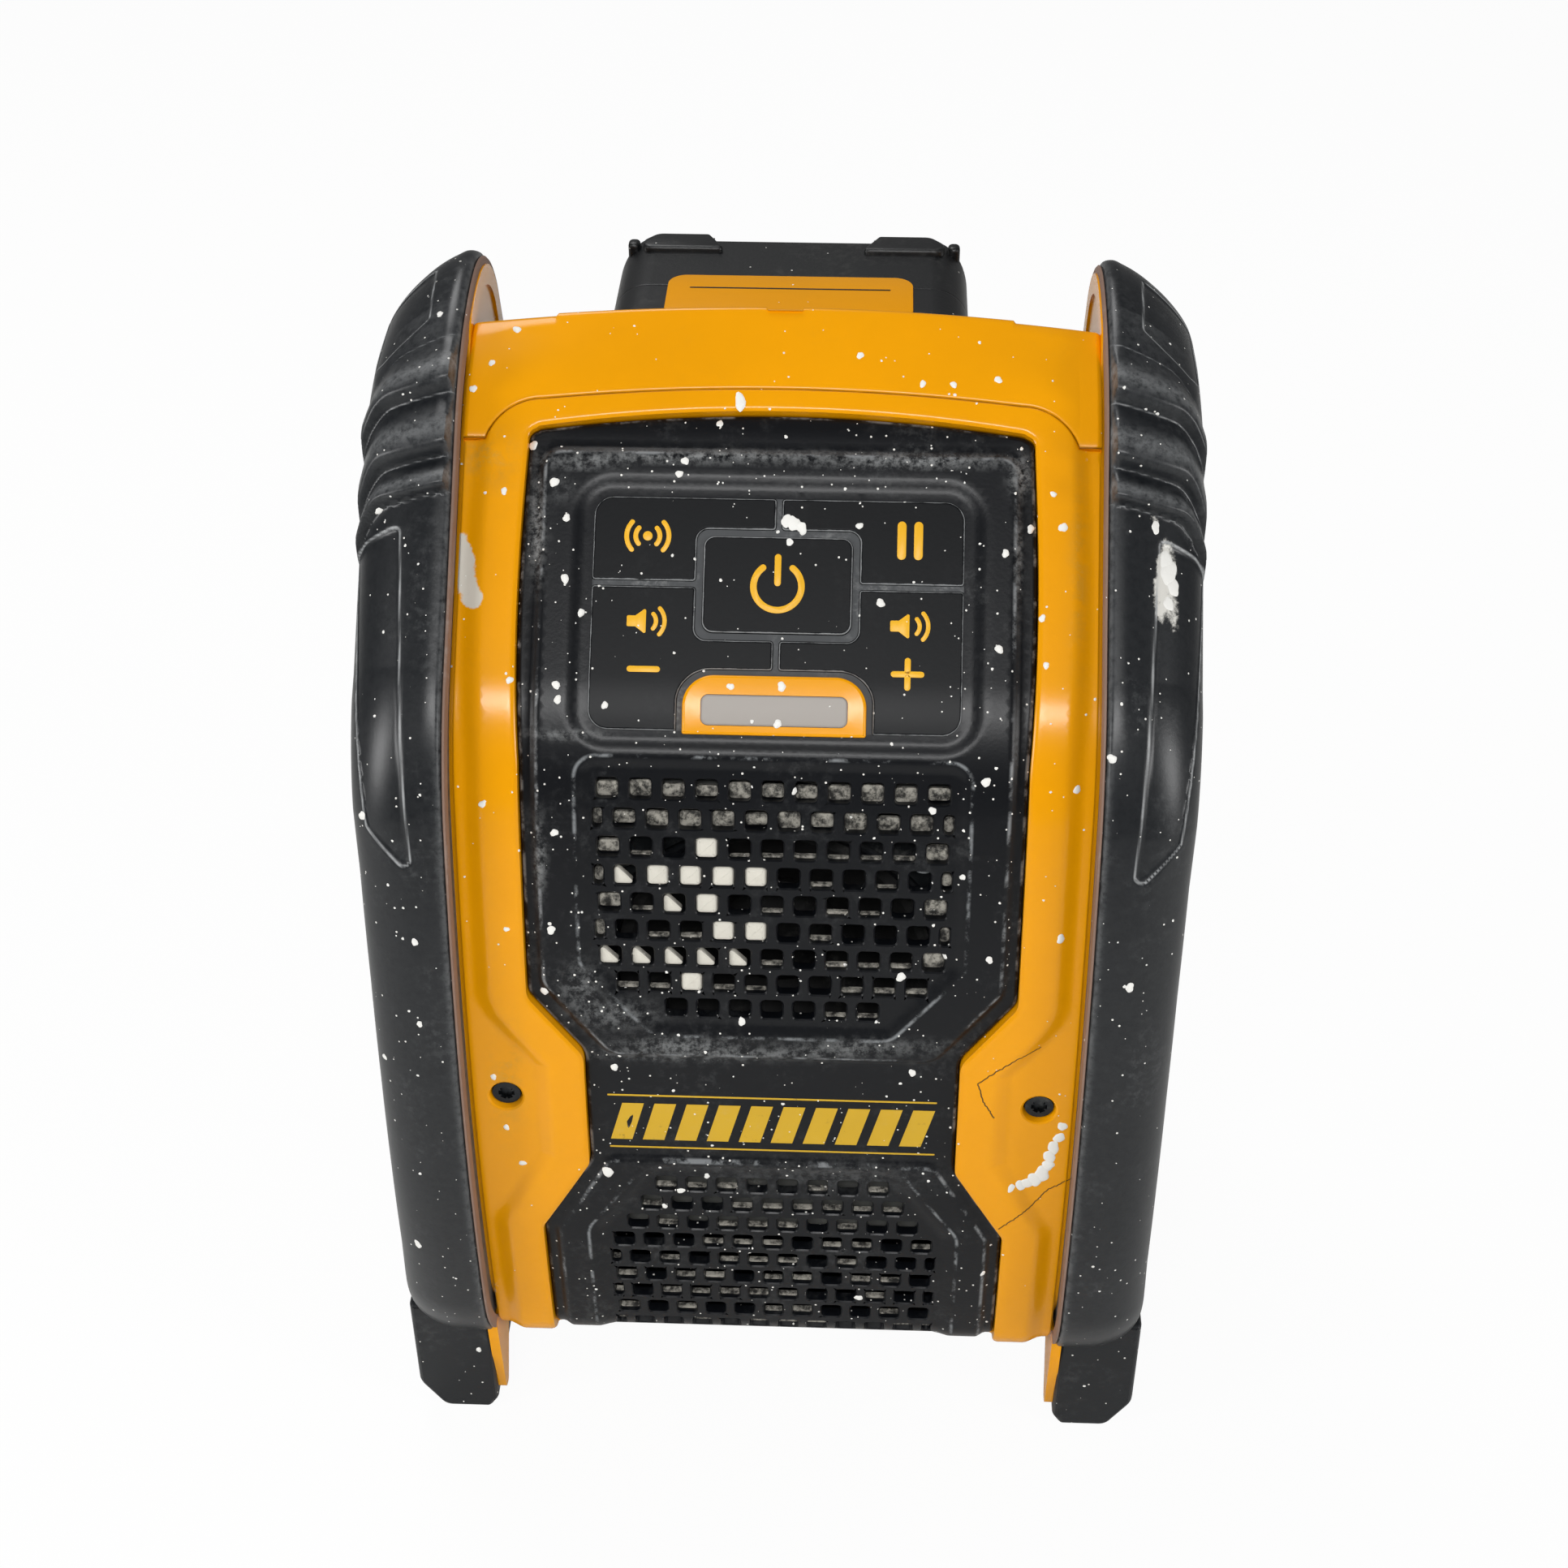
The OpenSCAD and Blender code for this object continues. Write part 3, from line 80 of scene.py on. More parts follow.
# %% Camera
IMAGE, FOCAL, SENSOR = 1932, 3008, 36
EYE = np.array([17.8804, -428.5272, 472.8])
AHEAD = np.array([-0.0326, 0.7927, -0.6088])
AHEAD = AHEAD / np.linalg.norm(AHEAD)
RIGHT = np.array([0.9992, 0.0395, -0.0021])
RIGHT = RIGHT - AHEAD * (RIGHT @ AHEAD)
RIGHT = RIGHT / np.linalg.norm(RIGHT)
UP = np.cross(RIGHT, AHEAD)

camera_data = bpy.data.cameras.new("camera")
camera_data.sensor_width = SENSOR
camera_data.lens = SENSOR * FOCAL / IMAGE
camera_data.clip_start = 0.01
camera = bpy.data.objects.new("camera", camera_data)
turn = np.eye(4)
turn[:3, 0], turn[:3, 1], turn[:3, 2], turn[:3, 3] = RIGHT, UP, -AHEAD, EYE * MM
camera.matrix_world = Matrix(turn.tolist())
bpy.context.scene.collection.objects.link(camera)
bpy.context.scene.camera = camera
print("lens", round(camera_data.lens, 1), "mm")


def sight(px, py):
    """Unit direction of the line of sight through a pixel: ahead, plus right and down in focal lengths."""
    ray = AHEAD * FOCAL + RIGHT * (px - IMAGE / 2) - UP * (py - IMAGE / 2)
    return ray / np.linalg.norm(ray)


def patches(points, spots):
    """Sum of soft spots (pixel x and y, radius x and y, strength) at the pixel that shows each point."""
    q = np.asarray(points, float) - EYE
    d = q @ AHEAD
    px, py = IMAGE / 2 + FOCAL * (q @ RIGHT) / d, IMAGE / 2 - FOCAL * (q @ UP) / d
    total = np.zeros(len(q))
    for x, y, rx, ry, strength in spots:
        total += strength * np.exp(-((px - x) / rx) ** 2 - ((py - y) / ry) ** 2)
    return np.clip(total, 0, 1)


# %% [markdown]
# ## Pieces
# A mesh is an array of points and arrays of corner numbers, one array per face size. Blender can build one
# with operators or bmesh, but whole arrays handed over by `foreach_set` are faster and leave nothing to
# chance. Every piece rides on a CAD body, and hides the CAD nodes that it stands for. A mask is one number per
# point, such as dust or wear, that a material can read.

# %% Piece tools
skins = []


def piece(name, points, faces, material, body="body", stands_for=(), slot=None, crease=40):
    """Makes an object from points in mm and one array of corner rows per face size, riding on a body."""
    faces = [np.asarray(f) for f in (faces if isinstance(faces, list) else [faces]) if len(f)]
    corners = np.concatenate([f.ravel() for f in faces]).astype(np.int32)
    sizes = np.concatenate([np.full(len(f), f.shape[1]) for f in faces])
    mesh = bpy.data.meshes.new(name)
    mesh.vertices.add(len(points))
    mesh.vertices.foreach_set("co", (np.asarray(points) * MM).astype(np.float32).ravel())
    mesh.loops.add(len(corners))
    mesh.loops.foreach_set("vertex_index", corners)
    mesh.polygons.add(len(sizes))
    mesh.polygons.foreach_set("loop_start", (np.cumsum(sizes) - sizes).astype(np.int32))
    mesh.polygons.foreach_set("use_smooth", np.ones(len(sizes), bool))
    mesh.update(calc_edges=True)
    mesh.validate()
    mesh.set_sharp_from_angle(angle=np.radians(crease))
    obj = bpy.data.objects.new(name, mesh)
    bpy.context.scene.collection.objects.link(obj)
    mesh.materials.append(material)
    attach(obj, body)
    if stands_for:
        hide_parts(*stands_for)
    skins.append((body, np.asarray(points, float), faces))
    return obj


def mask(obj, name, values):
    """Stores one number per point of a piece, which its material reads by name."""
    attribute = obj.data.attributes.new(name, "FLOAT", "POINT")
    attribute.data.foreach_set("value", np.asarray(values, np.float32).ravel())


def quads(rows, cols, wrap_rows=False, wrap_cols=False, flip=False):
    """Corner numbers of a grid of rows x cols points, closed on itself where a wrap is asked for."""
    i = np.arange(rows if wrap_rows else rows - 1)[:, None]
    j = np.arange(cols if wrap_cols else cols - 1)[None, :]
    i2, j2 = (i + 1) % rows, (j + 1) % cols
    f = np.stack([i * cols + j, i * cols + j2, i2 * cols + j2, i2 * cols + j], -1).reshape(-1, 4)
    return f[:, ::-1] if flip else f


def merge(*parts):
    """Joins (points, faces) pairs into one, shifting each part's corner numbers past the points before it."""
    points, faces, count = [], [], 0
    for p, f in parts:
        points.append(np.asarray(p, float))
        faces += [np.asarray(a) + count for a in (f if isinstance(f, list) else [f])]
        count += len(p)
    return np.concatenate(points), faces


# %% [markdown]
# ## Outlines
# Most pieces start as a flat outline: a polygon whose corners are replaced by arcs. Two builders turn
# outlines into surfaces. `prism` carries one through a few heights, drawing it in a little at each, which
# gives a block with a rolled edge. `plate` fills one that has holes with triangles. A boolean cut would do the
# same job, but it leaves long thin faces that shade badly.

# %% Outline tools
def step(a, b, t):
    """Smooth step from 0 at a to 1 at b."""
    u = np.clip((t - a) / (b - a), 0, 1)
    return u * u * (3 - 2 * u)


def rounded(corners, radii, detail=0.5):
    """Closed outline: each corner of a polygon becomes an arc of its radius, in steps of `detail` mm or less."""
    corners = np.asarray(corners, float)
    radii = np.broadcast_to(np.asarray(radii, float), len(corners))
    before, after = np.roll(corners, 1, 0) - corners, np.roll(corners, -1, 0) - corners
    before /= np.linalg.norm(before, axis=1)[:, None]
    after /= np.linalg.norm(after, axis=1)[:, None]
    half = np.arccos(np.clip((before * after).sum(1), -1, 1)) / 2
    out = []
    for c, b, a, h, r in zip(corners, before, after, half, radii):
        if r <= 0 or h > 1.55:
            out.append(c[None])
            continue
        mid = c + (a + b) / np.linalg.norm(a + b) * r / np.sin(h)
        p0, p1 = c + b * r / np.tan(h) - mid, c + a * r / np.tan(h) - mid
        t = np.linspace(0, 1, max(3, int(np.ceil(r * (np.pi - 2 * h) / detail)) + 1))[:, None]
        w = np.pi - 2 * h
        out.append(mid + (p0 * np.sin((1 - t) * w) + p1 * np.sin(t * w)) / np.sin(w))
    return np.concatenate(out)


def box_outline(w, h, r, detail=0.4):
    """Rounded rectangle of width w and height h round the origin."""
    return rounded([[-w / 2, -h / 2], [w / 2, -h / 2], [w / 2, h / 2], [-w / 2, h / 2]], r, detail)


def counter_clockwise(loop):
    """Outline turned round if its signed area, half the sum of its corners' cross products, is negative."""
    a, b = loop, np.roll(loop, -1, 0)
    return loop if np.sum(a[:, 0] * b[:, 1] - a[:, 1] * b[:, 0]) > 0 else loop[::-1]


def inset(loop, d):
    """Outline moved inwards by d along the mean of the normals of its two edges at each point."""
    e = np.roll(loop, -1, 0) - loop
    n = np.stack([-e[:, 1], e[:, 0]], 1) / np.linalg.norm(e, axis=1)[:, None]
    m = n + np.roll(n, 1, 0)
    m /= (m * m).sum(1)[:, None] / 2
    return loop + d * m


def refine(loop, length):
    """Outline with its long edges cut into steps of about `length`."""
    e = np.roll(loop, -1, 0) - loop
    n = np.maximum(1, np.ceil(np.linalg.norm(e, axis=1) / length)).astype(int)
    k = np.repeat(np.arange(len(loop)), n)
    t = (np.arange(len(k)) - np.repeat(np.cumsum(n) - n, n)) / n[k]
    return loop[k] + e[k] * t[:, None]


def level(loop, height):
    """Outline at one height: rows of (a, b, height)."""
    return np.column_stack([loop, np.full(len(loop), height)])


def upright(points):
    """An outline in (x, y) with its heights is in space already."""
    return points


def prism(loop, stations, place, caps=(True, True)):
    """Outline carried up through (inset, height) stations; `place` maps rows of (a, b, height) to space."""
    n = len(loop)
    rings = [level(inset(loop, d), h) for d, h in stations]
    faces = [quads(len(stations), n, wrap_cols=True)]
    if caps[0]:
        faces.append(np.arange(n)[None, ::-1])
    if caps[1]:
        faces.append(((len(stations) - 1) * n + np.arange(n))[None])
    return place(np.concatenate(rings)), faces


def soft_edge(bottom, top, r, bottom_r=0.0):
    """Stations of a block from bottom to top whose upper edge is rounded by r and lower edge by bottom_r."""
    a = np.radians(np.array([0, 22, 45, 68, 90]))
    low = [(0, bottom)]
    if bottom_r:
        low = [(bottom_r * (1 - np.sin(t)), bottom + bottom_r * (1 - np.cos(t))) for t in a]
    return low + [(r * (1 - np.cos(t)), top - r * (1 - np.sin(t))) for t in a]


def depth_inside(points, loop):
    """Signed distance to an outline, positive inside: nearest edge, with the sign by crossing count."""
    points = np.asarray(points, float)
    best = np.full(len(points), 1e9)
    inside = np.zeros(len(points), bool)
    for a, b in zip(loop, np.roll(loop, -1, 0)):
        e, q = b - a, points - a
        t = np.clip(q @ e / max(e @ e, 1e-12), 0, 1)
        best = np.minimum(best, np.hypot(*(q - t[:, None] * e).T))
        if a[1] != b[1]:
            crosses = (a[1] > points[:, 1]) != (b[1] > points[:, 1])
            inside ^= crosses & (points[:, 0] < a[0] + e[0] * (points[:, 1] - a[1]) / e[1])
    return np.where(inside, best, -best)


def plate(loops, extra, keep):
    """Triangles that fill outlines: Delaunay triangulation of loops and extra points, kept by a test."""
    points = [Vector(p) for loop in loops for p in loop] + [Vector(p) for p in extra]
    starts = np.cumsum([0] + [len(loop) for loop in loops])
    edges = [(int(a + i), int(a + (i + 1) % len(loop)))
             for a, loop in zip(starts, loops) for i in range(len(loop))]
    flat, _, faces, *_ = delaunay_2d_cdt(points, edges, [], 0, 1e-4)
    flat, faces = np.array([v[:] for v in flat]), np.array(faces)
    middle = flat[faces].mean(1)
    faces = faces[keep(middle)]
    a, b, c = (flat[faces[:, k]] for k in range(3))
    turned = np.cross(b - a, c - a) < 0
    faces[turned] = faces[turned][:, ::-1]
    used, faces = np.unique(faces, return_inverse=True)
    return flat[used], faces.reshape(-1, 3)


def lattice(pitch, s0, s1, half):
    """Staggered grid of points between two distances and over a half width."""
    x, s = np.meshgrid(np.arange(-half, half, pitch), np.arange(s0, s1, pitch * 0.87))
    x = x + pitch / 2 * (np.arange(len(s)) % 2)[:, None]
    return np.column_stack([x.ravel(), s.ravel()])


# %% [markdown]
# ## Materials
# The speaker is three materials over and over: moulded yellow ABS, moulded black ABS and soft black rubber,
# all under the same dust and the same fine spatter of white paint. Each could be painted on an image, but
# that needs unwrapped pieces. Here one function lays dirt, and some painted highlight and shade, over a clean
# colour, and each finish says how much of it there is. Colours are sRGB hex values, turned to linear by one
# function, and every pattern has its size in millimetres on Object coordinates.

# %% Material tools
SMOOTH = {"interpolation_type": "SMOOTHSTEP"}


def linear(hex_colour):
    """sRGB hex colour to the linear colour that Blender's sockets take."""
    c = np.array([int(hex_colour[i:i + 2], 16) for i in (1, 3, 5)]) / 255
    c = np.where(c <= 0.04045, c / 12.92, ((c + 0.055) / 1.055) ** 2.4)
    return (*map(float, c), 1.0)


def material(name):
    """New node material, with its tree and its surface shader."""
    m = bpy.data.materials.new(name)
    m.use_nodes = True
    return m, m.node_tree, m.node_tree.nodes["Principled BSDF"]


def add(tree, kind, inputs, output=0, **settings):
    """Adds a node: inputs are values or links by socket name or number. Gives back one of its outputs."""
    node = tree.nodes.new(f"ShaderNode{kind}")
    for key, value in settings.items():
        setattr(node, key, value)
    for key, value in inputs.items():
        if isinstance(value, bpy.types.NodeSocket):
            tree.links.new(value, node.inputs[key])
        else:
            node.inputs[key].default_value = value
    return node.outputs[output]


def lumps(coords, size, detail, rough):
    """Sockets of a noise with lumps of about `size` mm."""
    return {"Vector": coords, "Scale": 0.5 / (size * MM), "Detail": detail, "Roughness": rough}


def patchy(tree, coords, size, detail, rough, low, high):
    """Ragged cover from 0 to 1: noise with lumps of about `size` mm, mapped smoothly from low..high."""
    noise = add(tree, "TexNoise", lumps(coords, size, detail, rough))
    return add(tree, "MapRange", {"Value": noise, 1: low, 2: high}, **SMOOTH)


def spatter(tree, coords, spacing, radius, share):
    """Round dots of paint: distance to scattered points `spacing` mm apart, only a share of them kept."""
    near = add(tree, "TexVoronoi", {"Vector": coords, "Scale": 1 / (spacing * MM)}, "Distance")
    lot = add(tree, "SeparateColor", {"Color": near.node.outputs["Color"]})
    size = add(tree, "MapRange", {"Value": lot, 1: 1 - share, 2: 1.0}, **SMOOTH)
    limit = add(tree, "Math", {0: size, 1: radius / spacing}, operation="MULTIPLY")
    return add(tree, "Math", {0: near, 1: limit}, operation="LESS_THAN")


# %% [markdown]
# ### Layers of dirt and painted light
# Dirt is a stack of layers, each a cover from 0 to 1 and a colour. First comes dust: a thin haze everywhere,
# and a film where the piece's "dust" mask says so, which on the guards' ribs and the panel's relief edges is
# partly a painted highlight. Then wear, where the "wear" mask and a noise together pass a limit, so that its
# edge is ragged. Then lines along the relief, by the "edge_mm" mask: scuffs and painted edge highlights, and on
# the cap a painted shade along its seam. Last come the paint specks. Dust also makes the surface rougher. A fine
# grain is a bump, and the sharp edges of CAD pieces can be softened in the shading alone, as the real ones have
# small radii.

# %% Dirt
SPECK = "#E4E2DC"


def dirt_and_painted_light(name, colour, roughness, dust=0.3, speck=0.02, dust_and_sheen_colour="#B9B8B2", worn=None, bump=0.0,
          tone=0.08, shine=0.5, lined=None, film_mm=2.2, film_low=0.38, soft_mm=0.0, metal=0.0):
    """A clean colour, mottled by `tone`, under its layers: each mixes its colour in by its cover.

    worn is the colour of wear; lined the colour, width in mm and noise limit of lines along relief edges, which
    are scuffs, painted edge highlights and painted seam shade; film_mm and film_low the lump size and noise
    limit of the dust film; soft_mm the radius of softened edges.
    """
    m, tree, shader = material(name)
    coords = add(tree, "TexCoord", {}, "Object")
    base = np.array(linear(colour)[:3])
    dark, light = base * (1 - 2.2 * tone), np.minimum(1, base * (1 + tone))
    mottle = add(tree, "TexNoise", lumps(coords, 14, 4, 0.6))
    surface = add(tree, "Mix", {0: mottle, 6: (*dark, 1), 7: (*light, 1)}, 2, data_type="RGBA")
    clouds = patchy(tree, coords, 9, 8, 0.68, 0.47, 0.72)
    fine = patchy(tree, coords, 0.9, 3, 0.7, 0.42, 0.7)
    haze = add(tree, "Math", {0: clouds, 1: fine}, operation="MULTIPLY")
    # The "dust" mask also carries painted highlights on the guards' ribs and along the panel's relief edges.
    dusty = add(tree, "Attribute", {}, "Fac", attribute_name="dust")
    ragged = patchy(tree, coords, film_mm, 6, 0.72, film_low, 0.64)
    film = add(tree, "Math", {0: dusty, 1: ragged}, operation="MULTIPLY")
    veil = add(tree, "Math", {0: haze, 1: dust, 2: film}, operation="MULTIPLY_ADD")
    veil = add(tree, "Math", {0: veil, 1: 0.92}, operation="MINIMUM")
    layers = [(veil, dust_and_sheen_colour)]
    if worn:
        rubbed = add(tree, "Attribute", {}, "Fac", attribute_name="wear")
        flakes = add(tree, "TexNoise", lumps(coords, 1.6, 6, 0.72))
        rubbed = add(tree, "Math", {0: flakes, 1: 0.8, 2: rubbed}, operation="MULTIPLY_ADD")
        layers.append((add(tree, "MapRange", {"Value": rubbed, 1: 0.84, 2: 1.0}, **SMOOTH), worn))
    # Lines along the relief: partly scuffs, partly painted edge highlights and painted seam shade.
    if lined:
        line_colour, width, limit = lined
        edge = add(tree, "Attribute", {}, "Fac", attribute_name="edge_mm")
        edge = add(tree, "Math", {0: edge}, operation="ABSOLUTE")
        along_edge = add(tree, "MapRange", {"Value": edge, 1: width, 2: 0.0}, **SMOOTH)
        broken = patchy(tree, coords, 3.5, 6, 0.7, limit, 0.62)
        layers.append((add(tree, "Math", {0: along_edge, 1: broken}, operation="MULTIPLY"), line_colour))
    if speck:
        small = spatter(tree, coords, 1.5, 0.24, speck * 6)
        large = spatter(tree, coords, 5.0, 0.5, speck * 1.5)
        layers.append((add(tree, "Math", {0: small, 1: large}, operation="MAXIMUM"), SPECK))
    for cover, layer_colour in layers:
        surface = add(tree, "Mix", {0: cover, 6: surface, 7: linear(layer_colour)}, 2, data_type="RGBA")
    rough = add(tree, "Math", {0: veil, 1: 0.35, 2: roughness}, operation="MULTIPLY_ADD")
    grain = add(tree, "TexNoise", lumps(coords, 0.35, 2, 0.5))
    relief = {"Strength": bump, "Distance": 0.12 * MM, "Height": grain}
    if soft_mm:
        relief["Normal"] = add(tree, "Bevel", {"Radius": soft_mm * MM}, samples=6)
    normal = add(tree, "Bump", relief)
    for socket, value in (("Base Color", surface), ("Roughness", rough), ("Normal", normal)):
        tree.links.new(value, shader.inputs[socket])
    shader.inputs["Specular IOR Level"].default_value = shine
    shader.inputs["Metallic"].default_value = metal
    return m


# %% [markdown]
# ### Yellow, black and rubber
# ABS is moulded with a faint spark-eroded grain, so it is satin. The yellow one keeps its colour but gathers
# grey smears; on the black one every speck of dust shows. The guards are a soft thermoplastic rubber, chalky
# where it is rubbed, and their ribs are paler than the hollows between them: a band that is partly dust and
# partly a painted highlight. Gloss is held a little under the usual level for plastic, because dust has dulled
# it.

# %% Main finishes
YELLOW, BLACK, RUBBER = "#EFA000", "#0C0E12", "#101317"
old_yellow = dict(dust=0.05, speck=0.003, dust_and_sheen_colour="#A98A3A", bump=0.05, tone=0.05, shine=0.26)
# Satin yellow with soft highlights, and grey smears where it was knocked.
yellow_abs = dirt_and_painted_light("moulded_yellow_abs", YELLOW, 0.2, worn="#DAD4C8", **old_yellow)
# The same yellow, with a brown line of painted shade along the cap's seam.
cap_abs_seam_shade = dirt_and_painted_light("yellow_abs_with_painted_seam_shade", YELLOW, 0.2, lined=("#7A4E05", 0.6, 0.0), **old_yellow)
# Blue-black satin; pale lines along every edge of its relief are partly scuffs and partly painted highlight.
black_abs = dirt_and_painted_light("moulded_black_abs", BLACK, 0.33, dust=0.1, speck=0.1, dust_and_sheen_colour="#9A9C9C",
                  worn="#9A9B9B", bump=0.12, shine=0.24, lined=("#7C7F81", 0.6, 0.47), film_mm=0.9)
# The black of hidden and rear parts: plainer, with softened edges.
plain_black = dirt_and_painted_light("plain_black_abs", BLACK, 0.34, dust=0.14, speck=0.03, dust_and_sheen_colour="#8F9191", bump=0.2,
                    shine=0.36, soft_mm=0.6)
# Keys are wiped by fingers, so they stay deep black and only their edges are rubbed grey.
key_abs = dirt_and_painted_light("black_key_abs", "#0A0C0F", 0.4, dust=0.02, speck=0.03, dust_and_sheen_colour="#8F9191", worn="#8C8E8F",
                bump=0.08, shine=0.17)
# Soft rubber: broad dull highlights, ribs paler from dust and a painted highlight, and light lines at its
# creases and field walls that are partly worn edges and partly painted highlight.
guard_rubber = dirt_and_painted_light("soft_black_rubber", RUBBER, 0.33, dust=0.1, speck=0.045, dust_and_sheen_colour="#9A9C9D",
                     worn="#DAD8D1", bump=0.12, shine=0.38, lined=("#A2A4A5", 0.45, 0.14), film_mm=0.8,
                     film_low=0.22)
# The rubber of feet, gasket and latch, evenly grey with dust.
plain_rubber = dirt_and_painted_light("plain_black_rubber", RUBBER, 0.4, dust=0.12, speck=0.03, dust_and_sheen_colour="#8B8D8E",
                     bump=0.12, shine=0.36)
# The pack's ABS has a coarser grain, which breaks up its highlights.
pack_abs = dirt_and_painted_light("battery_black_abs", "#0E1012", 0.36, dust=0.06, speck=0.004, worn="#6E7072",
                 bump=0.3, soft_mm=0.8)
print("main finishes", YELLOW, BLACK, RUBBER)

# %% [markdown]
# ### Prints, paint and dirt
# Thin things that lie on the others: the yellow print of symbols and band, the wall paint that dropped on
# the speaker, the dust that packs grooves and holes, the worn edge of the guards' liner, and grime in cracks.
# They are matt, so they read as marks on the shinier plastic.

# %% Marks
# Fresh paint is bright and matt, with a slightly creased skin.
wall_paint = dirt_and_painted_light("dried_wall_paint", "#F0EFEA", 0.5, dust=0.08, speck=0.0, dust_and_sheen_colour="#C9C2B2",
                   bump=0.2, tone=0.03)
# Paint in the grille has gone grey and rough.
hole_paint = dirt_and_painted_light("grimy_wall_paint", "#DAD6CA", 0.6, dust=0.5, speck=0.0, dust_and_sheen_colour="#A8A294", bump=0.5)
# Fluffy dust: dark, with pale crumbs.
hole_dust = dirt_and_painted_light("dust_behind_holes", "#2B2A28", 0.8, dust=0.3, speck=0.0, dust_and_sheen_colour="#BDB9AE",
                  bump=0.4, tone=0.2, film_mm=1.0)
# Packed dust in the grooves between keys draws them as grey lines.
groove_dust = dirt_and_painted_light("dust_in_the_grooves", "#4A4C4E", 0.75, dust=0.8, speck=0.0, dust_and_sheen_colour="#8E8F8F")
# The liner's cut edge: pinkish tan, rubbed and dull.
tan_edge = dirt_and_painted_light("worn_liner_edge", "#8A6E5F", 0.6, dust=0.6, speck=0.01, dust_and_sheen_colour="#A3958C")
# Screen print: an even, bright yellow.
icon_paint = dirt_and_painted_light("printed_yellow_symbol", "#F2B61C", 0.42, dust=0.06, speck=0.0, tone=0.05)
# The same print, flaked down to the black.
band_paint = dirt_and_painted_light("worn_yellow_print", "#D2A716", 0.42, dust=0.1, speck=0.0, tone=0.06, worn="#15171A")
# Grime makes a hairline crack visible.
crack_line = dirt_and_painted_light("dirt_in_a_crack", "#5A3D08", 0.8, dust=0.0, speck=0.0)
# A frosted window: pale grey, neither clear nor shiny.
lens_abs, _, lens_shader = material("frosted_lens")
for socket, value in (("Base Color", linear("#979089")), ("Roughness", 0.4), ("IOR", 1.45)):
    lens_shader.inputs[socket].default_value = value
print("marks and lens done")

# %% [markdown]
# ### Inner parts
# Every CAD piece that stays visible somewhere, through a hole or when a pack slides out, gets the finish of
# its material slot. The inner ones follow one pattern, so a table gives their colour, roughness, share of
# dust and metal, with what each looks like beside it.

# %% Inner finishes
INNER = {"zinc_steel": ("zinc_plated_steel", "#A9ADB0", 0.36, 0.1, 1.0),  # cool grey with sharp glints
         "dark_steel": ("blackened_steel", "#2A2D30", 0.42, 0.3, 0.8),  # dark, with dull grey edges
         "copper": ("bare_copper", "#B87A4A", 0.35, 0.05, 1.0),  # warm and bright
         "aluminium": ("extruded_aluminium", "#8D9093", 0.4, 0.05, 1.0),  # soft silver
         "ferrite": ("sintered_ferrite", "#2C2C2E", 0.6, 0.1, 0.0),  # charcoal, like fine stone
         "paper_cone": ("black_paper_cone", "#0C0C0D", 0.75, 0.12, 0.0),  # matt black, hardly any highlight
         "woven_spider": ("resin_dipped_cloth", "#B08A3C", 0.8, 0.1, 0.0),  # amber and dry
         "circuit_board": ("solder_mask", "#1F5A38", 0.35, 0.05, 0.0),  # shiny green
         "component_black": ("component_sleeve", "#22242A", 0.4, 0.05, 0.0),  # smooth, nearly black
         "cell_wrap": ("cell_wrap_film", "#2F5C9A", 0.35, 0.03, 0.0),  # tight blue film
         "cell_frame_plastic": ("natural_plastic", "#CFCFC8", 0.5, 0.05, 0.0)}  # milky white
finish_of_slot = {slot: dirt_and_painted_light(name, colour, roughness, dust=dust, speck=0.0, metal=metal)
                  for slot, (name, colour, roughness, dust, metal) in INNER.items()}
# The baffle behind the grilles is the grey that years of dust make of it.
finish_of_slot["baffle_board"] = dirt_and_painted_light("dusty_grey_baffle", "#5A5B58", 0.7, dust=0.7, speck=0.03,
                                       dust_and_sheen_colour="#9A9992", tone=0.2)
finish_of_slot.update(yellow_plastic=yellow_abs, black_plastic=plain_black, key_plastic=key_abs,
                      rubber=plain_rubber, lens_plastic=lens_abs)
for part in frame["record"]["subparts"]:
    mesh = frame["nodes"][part["node"]].data
    mesh.materials.clear()
    mesh.materials.append(finish_of_slot[part["material_slot"]])

# %% [markdown]
# ## The bowed front
# Seen from the side, the front is a chain of arcs: chin, wide belly, a tight bend, a straight slope for the
# keys, and a crown that runs over to the back. Neighbouring arcs share a tangent, so each centre follows from
# the one before it. A spline would do too, but arcs are what a mould maker would draw.

# %% Front arcs
BELLY_R, BELLY_FRONT, BELLY_Z = 370.0, 64.0, 77.0
BEND_R, SLOPE, SLOPE_LEN, CROWN_R, CROWN_END, CHIN_R, CHIN_Z = 55.0, 45.0, 59.5, 60.0, 78.0, 10.0, 34.0
BODY_HALF, CAP_REAR, FINE = 63.5, 20.0, 0.25
KEY_FOOT = np.array([-44.78, 190.37])


def facing(lean):
    """Outward direction (y, z) of a surface that leans back by `lean` radians from the upright front."""
    return np.stack([-np.cos(lean), np.sin(lean)], -1)


belly_c = np.array([BELLY_R - BELLY_FRONT, BELLY_Z])
slope_lean = np.radians(90 - SLOPE)
slope_up = np.array([np.sin(slope_lean), np.cos(slope_lean)])
chin_lean = np.arcsin((CHIN_Z - BELLY_Z) / BELLY_R)
reach = (KEY_FOOT - belly_c) @ facing(slope_lean) - BEND_R
bend_lean = slope_lean - np.arccos(reach / (BELLY_R - BEND_R))
chin_c = belly_c + (BELLY_R - CHIN_R) * facing(chin_lean)
bend_c = belly_c + (BELLY_R - BEND_R) * facing(bend_lean)
slope_1 = KEY_FOOT + SLOPE_LEN * slope_up
crown_c = slope_1 - CROWN_R * facing(slope_lean)
print("leans of chin, bend and slope", np.degrees([chin_lean, bend_lean, slope_lean]).round(1))

# %% [markdown]
# ### Placing things on the front
# Everything on the front lies on this chain at some depth, so one function places a point by its sideways
# position, its distance along the chain and its depth. The keypad has its own measure, up the slope.

